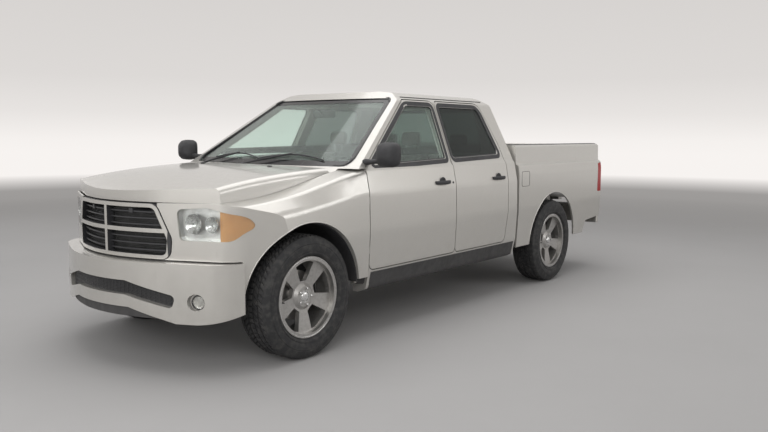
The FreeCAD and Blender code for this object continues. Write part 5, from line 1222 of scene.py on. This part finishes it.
def steering_wheel_parts():
    """Rim with grips, plain padded boss, and covers on the spokes."""
    centre = Vector((0.850, DRIVER_Y, 1.135))
    far = [v.co - centre for v in nodes["steering_wheel"].data.vertices if (v.co - centre).length > 0.19]
    axis = far[0].cross(max(far, key=lambda p: p.cross(far[0]).length)).normalized()
    place = tilted(centre, axis if axis.x < 0 else -axis)
    rings = []
    for step, turn in enumerate(turns(64)):
        grip = 0.0152 + (0.0012 if 4 < step % 32 < 12 else 0.0)
        ring = []
        for angle in turns(14):
            radius = 0.186 + grip * math.cos(angle)
            ring.append(place @ Vector((radius * math.cos(turn), radius * math.sin(turn), grip * math.sin(angle))))
        rings.append(ring)
    rim = Form().loft(rings + rings[:1], caps=False)
    bmesh.ops.remove_doubles(rim.mesh, verts=rim.mesh.verts, dist=1e-6)
    cover = rim.piece("wheel_rim_cover", body="steering", smooth=60)
    Form().loft([[place @ Vector((p.x, p.y, z)) for p in rounded(-w, w * 0.7, -h, h, 0.03, 6)] for z, w, h in (
        (-0.030, 0.050, 0.056), (0.004, 0.070, 0.075), (0.018, 0.068, 0.072), (0.026, 0.052, 0.056))]).piece(
            "wheel_boss", "cabin_plastic", "steering", smooth=50)
    arms = Form()
    for turn in (90, -90, 180):
        way = Matrix.Rotation(math.radians(turn), 3, "Z")
        arms.loft([[place @ (way @ Vector((radius, y, z + dz))) for y, dz in (
            (-width, 0.0), (-width * 0.6, 0.010), (width * 0.6, 0.010), (width, 0.0), (0.0, -0.008))]
            for radius, width, z in ((0.050, 0.034, 0.006), (0.11, 0.020, 0.0), (0.182, 0.016, -0.002))])
    arms.piece("wheel_spokes", body="steering", smooth=50)
    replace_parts(cover, "steering_wheel")


def dashboard_parts():
    """Instrument hood and gauges, vents, middle stack with its screen, glovebox seam and stalks."""
    rings = []
    for x, rise, wide in ((0.985, 0.030, 0.160), (1.00, 0.062, 0.178), (1.08, 0.066, 0.180), (1.17, 0.040, 0.165),
                          (1.21, 0.004, 0.14)):
        arch = [(DRIVER_Y + wide * math.cos(a), 1.165 + (rise + 0.01) * math.sin(a))
                for a in (math.pi * k / 12 for k in range(13))]
        rings.append([(x, y, z) for y, z in arch]
                     + [(x + 0.004, DRIVER_Y + (y - DRIVER_Y) * 0.93, z - 0.012) for y, z in reversed(arch)])
    Form().loft(rings).piece("gauge_hood", "cabin_plastic", smooth=50)
    face = [(0.9795 + (z - 1.08) * 0.25, y, z) for y, z in rounded(0.245, 0.525, 1.085, 1.185, 0.02)]
    Form().plate(face, (0.006, 0, 0.001)).piece("gauge_face", "gloss_black")
    gauges = [[(0.9905 + radius * math.sin(a) * 0.25, y + radius * math.cos(a), 1.135 + radius * math.sin(a))
               for a in turns(24)] for y, radius in ((0.325, 0.040), (0.445, 0.040), (0.385, 0.018))]
    strand("gauge_rings", gauges, 0.0022, "chrome", closed=True)
    stack = ring_of(((-0.13, 0.90, 0.02), (0.13, 0.90, 0.02), (0.14, 1.165, 0.03), (-0.14, 1.165, 0.03)))
    Form().loft([[(x, p.x, p.y) for p in grown(stack, grow)] for x, grow in (
        (1.02, 0.0), (0.978, 0.0), (0.972, -0.006))]).piece("middle_stack", "cabin_plastic", smooth=40)
    screen = [(0.9712, y, z) for y, z in rounded(-0.095, 0.095, 1.050, 1.150, 0.008)]
    Form().plate(screen, (-0.0015, 0, 0)).piece("radio_screen", "gloss_black")
    knobs = Form()
    for y in (-0.09, -0.03, 0.03, 0.09):
        knobs.turned(((0.0005, 0.014), (0.013, 0.013), (0.015, 0.010), (0.016, 0.0), (0.016, -0.002)),
                     (0.971, y, 0.975), (-1, 0, 0), 24)
    for k in range(6):
        knobs.box((0.966, -0.092 + k * 0.032, 1.012), (0.9725, -0.068 + k * 0.032, 1.026))
    knobs.piece("radio_knobs", bevel=0.001)
    frames = []
    slats = Form()
    for y, z in ((0.735, 1.10), (0.19, 1.11), (-0.19, 1.11), (-0.735, 1.10)):
        frames.append([(0.9815, a, b) for a, b in rounded(y - 0.052, y + 0.052, z - 0.032, z + 0.032, 0.014)])
        for k in range(5):
            slats.box((0.976, y - 0.046, z - 0.026 + 0.0115 * k), (0.990, y + 0.046, z - 0.0225 + 0.0115 * k))
    strand("vent_frames", frames, 0.0035, "cabin_plastic", closed=True, smooth=False)
    slats.piece("vent_slats", bevel=0.0006)
    seam = [(0.9905 + max(0.0, 1.0 - z) * 0.45, y, z) for y, z in rounded(-0.66, -0.24, 0.925, 1.045, 0.02)]
    strand("glovebox_seam", [seam], 0.0018, "gloss_black", closed=True, smooth=False)
    stalks = [[(x, DRIVER_Y + s * out, z) for x, out, z in (
        (0.915, 0.04, 1.105), (0.905, 0.11, 1.115), (0.898, 0.155, 1.128))] for s in (1, -1)]
    strand("stalks", stalks, 0.007)


def console():
    """Low console between the seats with cup holders, the selector and pedals."""
    Form().loft([[(x, y, z) for y, z in (
        (-half * 1.05, 0.746), (-half, top - 0.03), (-half * 0.86, top), (half * 0.86, top), (half, top - 0.03),
        (half * 1.05, 0.746))] for x, top, half in (
            (-0.02, 0.86, 0.105), (0.0, 0.925, 0.112), (0.30, 0.935, 0.115), (0.34, 0.86, 0.110),
            (0.60, 0.845, 0.105), (0.80, 0.83, 0.100), (0.98, 0.90, 0.110))]).piece(
                "console", "cabin_plastic", bevel=0.004, smooth=40)
    cups = Form()
    for y in (0.045, -0.045):
        cups.turned(((0.032, 0.0), (0.036, 0.004), (0.039, 0.0), (0.036, -0.004)), (0.42, y, 0.858), (0, 0, 1), 30)
    cups.piece("cup_rings", "chrome", smooth=60)
    strand("selector", [[(0.66, 0, 0.84), (0.655, 0, 0.90), (0.63, 0, 0.945)]], 0.008, "chrome")
    Form().turned(((0.0005, 0.026), (0.014, 0.022), (0.019, 0.010), (0.018, -0.006), (0.009, -0.018)),
                  (0.628, 0, 0.955), (-0.25, 0, 1), 28).piece("selector_knob", smooth=60)
    pedals = Form()
    for y0, y1, x in ((0.245, 0.295, 1.175), (0.335, 0.425, 1.150)):
        pad_edge = rounded(y0, y1, 0.695, 0.775, 0.008)
        pedals.plate([(x + (z - 0.73) * 0.5, y, z) for y, z in pad_edge], (-0.008, 0, 0.004))
    pedals.piece("pedals", bevel=0.002)
    strand("pedal_arms", [[(1.175, 0.27, 0.77), (1.20, 0.27, 0.83), (1.19, 0.27, 0.90)],
                          [(1.155, 0.38, 0.77), (1.19, 0.38, 0.83), (1.18, 0.38, 0.90)]], 0.006, "frame_black")


def inner_mirror():
    """Mirror on a stalk behind the windscreen."""
    place = hit("cab_glass", (4.0, 0.0, 1.70), (-1, 0, 0))
    spot = place + Vector((-0.085, 0, -0.035))
    Form().loft([[spot + Vector((x, p.x, p.y)) for p in ring_of(
        ((-w, -h, 0.02), (w, -h, 0.02), (w * 1.04, h, 0.022), (-w * 1.04, h, 0.022)))] for x, w, h in (
            (-0.012, 0.118, 0.030), (0.004, 0.124, 0.034), (0.020, 0.090, 0.022))]).piece("inner_mirror", smooth=50)
    strand("mirror_stalk", [[spot + Vector((0.02, 0, 0.0)), spot + Vector((0.05, 0, 0.018)),
                             place + Vector((-0.008, 0, -0.002))]], 0.006)


def sun_visors():
    """Two visors under the front of the hood lining."""
    visors = Form()
    for s in (1, -1):
        visors.loft([[(x, s * y, z + dz) for y, dz in (
            (0.10, 0.0), (0.11, 0.008), (0.52, 0.008), (0.53, 0.0), (0.52, -0.008), (0.11, -0.008))]
            for x, z in ((0.545, 1.726), (0.535, 1.734), (0.40, 1.752), (0.39, 1.750))])
    visors.piece("sun_visors", "cabin_light", smooth=60)


TRIM_ENDS = {"front": (0.30, 1.18), "rear": (-0.52, 0.12)}


def linings():
    """Headliner, carpet and the doors' inner trim with arm rests."""
    laid("headliner", "cabin_light", "chassis", "cab_shell", (0, 0, 1), (-0.72, 0.42), (-0.60, 0.60), 0.006, 0.003,
         (18, 16), -1.3)
    laid("carpet", "carpet", "chassis", "cab_floor", (0, 0, -1), (-0.70, 1.24), (-0.74, 0.74), 0.0035, 0.003,
         (30, 30), 0.9)
    for end, side, s, body in DOORS:
        node, (x0, x1) = f"door_{end}_{side}", TRIM_ENDS[end]
        laid(f"trim_{end}_{side}", "cabin_plastic", body, node, (0, s, 0), (x0, x1), (0.60, 1.215), 0.010, 0.008,
             start=0.0, smooth=50)
        inner = hit(node, ((x0 + x1) / 2, 0, 0.98), (0, s, 0)).y - s * 0.008
        rings = []
        for x, reach, z in ((x0 + 0.10, 0.030, 0.975), (x0 + 0.16, 0.062, 0.985), (x1 - 0.22, 0.060, 1.000),
                            (x1 - 0.14, 0.024, 1.005)):
            rings.append([(x, inner - s * reach * share, z + dz) for share, dz in (
                (0.0, 0.022), (0.8, 0.020), (1.0, 0.0), (0.7, -0.030), (0.0, -0.045))])
        Form().loft(rings).piece(f"arm_rest_{end}_{side}", "cabin_light", body, bevel=0.004, smooth=50)


# Engine bay and underside


def bolts(name, node, starts, way, radius=0.008):
    """Six-sided bolt heads on a node's surface."""
    form = Form()
    for place, normal in (cast(node, start, way) for start in starts):
        if place is None:
            continue
        out = -normal if normal.dot(Vector(way)) > 0 else normal
        form.turned(((0.0004, 0.006), (radius * 0.85, 0.006), (radius, 0.0045), (radius, -0.001)), place, out, 6)
        form.turned(((radius * 0.9, 0.0015), (radius * 1.35, 0.0012), (radius * 1.4, -0.001)), place, out, 20)
    form.piece(name, "exhaust_steel", smooth=30)


def stacked(outlines, name, material="black_plastic", bevel=0.0):
    """A lofted block from rounded rectangles: (x0, x1, y0, y1, radius, z) from the bottom up."""
    Form().loft([[(p.x, p.y, z) for p in rounded(*outline, 4)] for *outline, z in outlines]).piece(
        name, material, bevel=bevel, smooth=45)


def engine_cover():
    """Cover with ribs on the engine, and the ports along its two sides."""
    stacked(((1.50, 2.12, -0.205, 0.205, 0.05, 1.0305), (1.49, 2.13, -0.212, 0.212, 0.05, 1.046),
             (1.52, 2.10, -0.185, 0.185, 0.05, 1.062)), "engine_cover")
    ribs = Form()
    for y in (-0.135 + 0.045 * k for k in range(7)):
        ribs.box((1.56, y - 0.006, 1.060), (2.06, y + 0.006, 1.068))
    for s in (1, -1):
        for x in (1.56 + 0.155 * k for k in range(4)):
            ribs.rod((x, s * 0.24, 0.985), (x, s * 0.30, 0.90), 0.026, 0.034, 20)
    ribs.piece("engine_ribs", "engine_metal", bevel=0.002)


def intake():
    """Air box and the ribbed pipe from it to the engine."""
    stacked(((2.17, 2.44, -0.66, -0.40, 0.03, 0.80), (2.16, 2.45, -0.67, -0.39, 0.03, 0.90),
             (2.15, 2.46, -0.68, -0.38, 0.03, 0.915), (2.16, 2.45, -0.67, -0.39, 0.03, 0.935),
             (2.20, 2.42, -0.64, -0.42, 0.04, 0.990)), "air_box")
    path = [Vector(p) for p in ((2.16, -0.52, 0.955), (2.08, -0.51, 0.985), (2.00, -0.46, 1.005), (1.93, -0.38, 1.01),
                                (1.88, -0.28, 1.005), (1.86, -0.20, 1.00))]
    points = [a.lerp(b, k / 6) for a, b in zip(path, path[1:]) for k in range(6)]
    rings = []
    for number, (before, point, after) in enumerate(zip(points[:1] + points, points, points[1:] + points[-1:])):
        turn = (after - before).normalized().to_track_quat("Z", "Y").to_matrix()
        radius = 0.040 + (0.003 if number % 2 else 0.0)
        rings.append([point + turn @ Vector((radius * math.cos(a), radius * math.sin(a), 0)) for a in turns(24)])
    Form().loft(rings).piece("intake_pipe", smooth=80)


def battery_and_bottles():
    """Battery with its posts, and two fluid bottles with caps."""
    stacked(((2.19, 2.43, 0.40, 0.60, 0.012, 0.79), (2.19, 2.43, 0.40, 0.60, 0.012, 0.955),
             (2.185, 2.435, 0.395, 0.605, 0.012, 0.958), (2.185, 2.435, 0.395, 0.605, 0.012, 0.985),
             (2.20, 2.42, 0.41, 0.59, 0.012, 0.990)), "battery", "gloss_black", 0.001)
    posts = Form()
    for y in (0.435, 0.565):
        posts.rod((2.225, y, 0.988), (2.225, y, 1.006), 0.009, 0.008, 20)
        posts.box((2.208, y - 0.014, 0.990), (2.242, y + 0.014, 1.000))
    posts.piece("battery_posts", "exhaust_steel", bevel=0.001)
    for name, x, y in (("coolant_bottle", 1.66, -0.60), ("brake_bottle", 1.66, 0.56)):
        stacked([(x - long, x + long, y - wide, y + wide, radius, z) for long, wide, radius, z in (
            (0.09, 0.06, 0.02, 0.96), (0.10, 0.07, 0.03, 1.00), (0.10, 0.07, 0.03, 1.055),
            (0.07, 0.045, 0.03, 1.075))], name, "cabin_light")
        Form().turned(((0.0005, 0.022), (0.022, 0.021), (0.026, 0.016), (0.026, -0.002)), (x, y, 1.075),
                      (0, 0, 1), 24).piece(f"{name}_cap", smooth=40)


def engine_bay():
    """Engine cover, air box, battery, bottles, fan in its shroud, pipes and the lid's lining."""
    engine_cover()
    intake()
    battery_and_bottles()
    hub = Vector((2.442, 0, 0.810))
    Form().turned(((0.262, 0.0), (0.262, 0.055), (0.250, 0.058), (0.246, 0.0)), hub, (1, 0, 0), 60).piece(
        "fan_shroud", smooth=50)
    fan = Form().turned(((0.0005, -0.024), (0.045, -0.022), (0.052, -0.012), (0.052, 0.022)),
                        hub + Vector((0.013, 0, 0)), (1, 0, 0), 36)
    for angle in turns(7):
        turn = Matrix.Rotation(angle, 3, "X")
        fan.loft([[hub + Vector((0.020, 0, 0)) + turn @ Vector((chord * u * math.sin(twist) + t, chord * u, radius))
                   for u, t in ((-1, 0.0), (0, 0.004), (1, 0.0), (0, -0.002))]
                  for radius, chord, twist in ((0.050, 0.030, 0.5), (0.14, 0.040, 0.35), (0.238, 0.046, 0.22))])
    fan.piece("fan", smooth=50)
    strand("nose_seal", [[(2.60, -0.50, 1.052), (2.605, 0, 1.056), (2.60, 0.50, 1.052)]], 0.008)
    strand("coolant_pipes", [[(2.50, 0.24, 0.955), (2.42, 0.235, 0.975), (2.30, 0.19, 0.99), (2.16, 0.14, 0.985)],
                             [(2.50, -0.24, 0.70), (2.40, -0.235, 0.69), (2.28, -0.20, 0.69), (2.16, -0.15, 0.70)]],
           0.021)
    laid("hood_lining", "bed_liner", "hood_panel", "hood", (0, 0, 1), (1.66, 2.42), (-0.60, 0.60), 0.007, 0.004,
         (30, 40), -0.8)


def coil(x, y, radius, z0, z1, winds, steps=14):
    """Points of a coil spring that stands upright."""
    count = winds * steps
    return [(x + radius * math.cos(2 * math.pi * k / steps), y + radius * math.sin(2 * math.pi * k / steps),
             z0 + (z1 - z0) * k / count) for k in range(count + 1)]


def underside():
    """Coil springs round the front dampers, rear shock absorbers, spring bolts and the axle's cover bolts."""
    strand("coil_springs", [coil(FRONT_AXLE_X, s * 0.5935, 0.040, COIL_LOW, 0.722, 8) for s in (1, -1)], 0.005,
           "frame_black")
    shocks = Form()
    for s in (1, -1):
        low, high = Vector((-1.71, s * 0.600, 0.385)), Vector((-1.83, s * 0.462, 0.715))
        middle = low.lerp(high, 0.5)
        shocks.rod(low, middle, 0.026).rod(middle, high, 0.032).rod(low.lerp(high, 0.49), middle, 0.034)
        for end in (low, high):
            shocks.rod(end - Vector((0, 0.03, 0)), end + Vector((0, 0.03, 0)), 0.022)
    shocks.piece("rear_shock_absorbers", "frame_black", bevel=0.001)
    loops = [[(x, s * y, z) for z in (0.345, 0.42, 0.525)] for s in (1, -1)
             for x in (REAR_AXLE_X - 0.058, REAR_AXLE_X + 0.058) for y in (SPRING_Y - 0.040, SPRING_Y + 0.040)]
    strand("spring_bolts", loops, 0.007, "exhaust_steel", smooth=False)
    bolts("axle_bolts", "rear_axle", [(-3.0, 0.095 * math.cos(a), AXLE_Z + 0.095 * math.sin(a)) for a in turns(10)],
          (1, 0, 0))
    for side, s in SIDES:
        bolts(f"frame_bolts_{side}", "frame", [(x, s * 1.5, z) for x in (-2.2, -2.05, 0.9, 1.05, 2.3, 2.42)
                                               for z in (0.44, 0.52)], (0, -s, 0))


# The view of the photo

FOCAL_PX = 759.0
PHOTO_WIDTH_PX = 768
SENSOR = 36.0
CAMERA_PLACE = (5.507, 4.459, 1.500)
YAW, PITCH, ROLL = (math.radians(angle) for angle in (-141.45, -6.17, 0.24))
camera = bpy.data.objects.new("camera", bpy.data.cameras.new("camera"))
bpy.context.collection.objects.link(camera)
camera.data.sensor_width = SENSOR
camera.data.lens = FOCAL_PX / PHOTO_WIDTH_PX * SENSOR
ahead = Vector((math.cos(YAW) * math.cos(PITCH), math.sin(YAW) * math.cos(PITCH), math.sin(PITCH)))
level = Vector((math.sin(YAW), -math.cos(YAW), 0))
above = level.cross(ahead)
right = level * math.cos(ROLL) + above * math.sin(ROLL)
above = right.cross(ahead)
camera.matrix_world = Matrix.Translation(CAMERA_PLACE) @ Matrix((right, above, -ahead)).transposed().to_4x4()
camera.data.clip_end = 300
bpy.context.scene.camera = camera
bpy.context.scene.view_settings.view_transform = "Standard"

# Floor, wall and light

FLOOR_RADIUS = 60.0
FLOOR_FADE = (6.0, 13.0)
FLOOR_REACH = 40.0
WALL_FROM, WALL_TO = -0.04, 0.18
# Grey levels that only the camera and reflections see: by share of the floor's reach, and up the wall.
FLOOR_SHOWN = ((0.30, 0.33), (0.39, 0.345), (0.58, 0.93), (1.0, 0.93))
WALL_SHOWN = ((0.0, 0.95), (0.15, 0.91), (0.30, 0.80), (0.50, 0.72), (1.0, 0.67))
WARM = (1.0, 0.965, 0.94)


def stage_material():
    """Matt floor that turns into the pale backdrop far from the truck."""
    color = (0.375, 0.366, 0.362)
    look = Shader("floor", color, 0.85)
    look.color(look.tint(look.spread(look.noise(0.6, 4.0), 0.3, 0.7), color, shaded(color, 0.95)))
    look.bump(look.noise(40.0), 0.002, 0.1)
    distance = look.add("ShaderNodeVectorMath", operation="LENGTH")
    look.link(look.place, distance.inputs[0])
    ramp = look.add("ShaderNodeValToRGB")
    look.link(look.spread(distance.outputs["Value"], 0.0, FLOOR_REACH), ramp.inputs["Fac"])
    shown_at(ramp, FLOOR_SHOWN)
    glow = look.add("ShaderNodeEmission")
    look.link(ramp.outputs["Color"], glow.inputs["Color"])
    fade = look.spread(distance.outputs["Value"], *FLOOR_FADE)
    mixer = look.add("ShaderNodeMixShader")
    look.link(look.math("MULTIPLY", seen_directly(look.tree), fade), mixer.inputs["Fac"])
    look.link(look.surface.outputs["BSDF"], mixer.inputs[1])
    look.link(glow.outputs["Emission"], mixer.inputs[2])
    look.link(mixer.outputs["Shader"], look.tree.nodes["Material Output"].inputs["Surface"])
    return look.material


def shown_at(ramp, stops):
    """Colour stops of a ramp, from grey levels."""
    for number, (place, level) in enumerate(stops):
        stop = ramp.color_ramp.elements[number] if number < 2 else ramp.color_ramp.elements.new(place)
        stop.position = place
        stop.color = (*(level * c for c in WARM), 1)


def seen_directly(tree):
    """One for the camera's rays and for those that reflect or pass through, else nothing."""
    path = tree.nodes.new("ShaderNodeLightPath")
    last = path.outputs["Is Camera Ray"]
    for name in ("Is Glossy Ray", "Is Transmission Ray"):
        either = tree.nodes.new("ShaderNodeMath")
        either.operation = "MAXIMUM"
        tree.links.new(last, either.inputs[0])
        tree.links.new(path.outputs[name], either.inputs[1])
        last = either.outputs["Value"]
    return last


def floor():
    """A round floor far wider than the truck."""
    mesh = bpy.data.meshes.new("floor")
    work = bmesh.new()
    bmesh.ops.create_circle(work, cap_ends=True, radius=FLOOR_RADIUS, segments=96)
    work.to_mesh(mesh)
    work.free()
    thing = bpy.data.objects.new("floor", mesh)
    mesh.materials.append(stage_material())
    bpy.context.collection.objects.link(thing)


def world():
    """Even studio light, with a pale wall that glows above the floor where the camera and reflections look."""
    sky = bpy.data.worlds.new("studio")
    bpy.context.scene.world = sky
    sky.use_nodes = True
    tree = sky.node_tree
    light = tree.nodes["Background"]
    light.inputs["Color"].default_value = (1, 1, 1, 1)
    light.inputs["Strength"].default_value = 0.45
    split = tree.nodes.new("ShaderNodeSeparateXYZ")
    tree.links.new(tree.nodes.new("ShaderNodeTexCoord").outputs["Generated"], split.inputs["Vector"])
    height = tree.nodes.new("ShaderNodeMapRange")
    height.inputs["From Min"].default_value = WALL_FROM
    height.inputs["From Max"].default_value = WALL_TO
    tree.links.new(split.outputs["Z"], height.inputs["Value"])
    ramp = tree.nodes.new("ShaderNodeValToRGB")
    tree.links.new(height.outputs["Result"], ramp.inputs["Fac"])
    shown_at(ramp, WALL_SHOWN)
    wall = tree.nodes.new("ShaderNodeBackground")
    tree.links.new(ramp.outputs["Color"], wall.inputs["Color"])
    mixer = tree.nodes.new("ShaderNodeMixShader")
    tree.links.new(seen_directly(tree), mixer.inputs["Fac"])
    tree.links.new(light.outputs["Background"], mixer.inputs[1])
    tree.links.new(wall.outputs["Background"], mixer.inputs[2])
    tree.links.new(mixer.outputs["Shader"], tree.nodes["World Output"].inputs["Surface"])


def lamp_panel(name, place, target, size, power):
    """A soft rectangular light aimed at a place."""
    data = bpy.data.lights.new(name, "AREA")
    data.shape = "RECTANGLE"
    data.size, data.size_y = size
    data.energy = power
    thing = bpy.data.objects.new(name, data)
    thing.location = place
    thing.rotation_euler = (Vector(target) - Vector(place)).to_track_quat("-Z", "Y").to_euler()
    bpy.context.collection.objects.link(thing)


floor()
world()
lamp_panel("overhead", (0, 0, 6.5), (0, 0, 0), (9, 7), 300)
lamp_panel("key", (7.5, 6.0, 4.5), (0.5, 0, 0.8), (5, 3), 190)
lamp_panel("front", (8.5, 1.0, 2.6), (2.4, 0, 0.9), (4, 2.5), 130)
lamp_panel("side", (-4.0, 8.5, 3.5), (-0.5, 0, 0.8), (6, 3), 140)
lamp_panel("far", (2.0, -9.0, 4.0), (0, 0, 0.8), (7, 3), 100)

for make in (tyres_and_wheels, brakes, seals, wipers, cowl_vents, door_handles, mirrors, grille_cap,
             headlamps, bumper_parts, hood_parts, glass_borders, bed_liner, rail_caps, tail_lamp_parts,
             tailgate_parts, rear_bumper_parts, brake_lamp_high, filler_door, arch_edges, sill_shade_strips,
             roof_mouldings, seats, steering_wheel_parts, dashboard_parts, console, inner_mirror,
             sun_visors, linings, engine_bay, underside):
    make()
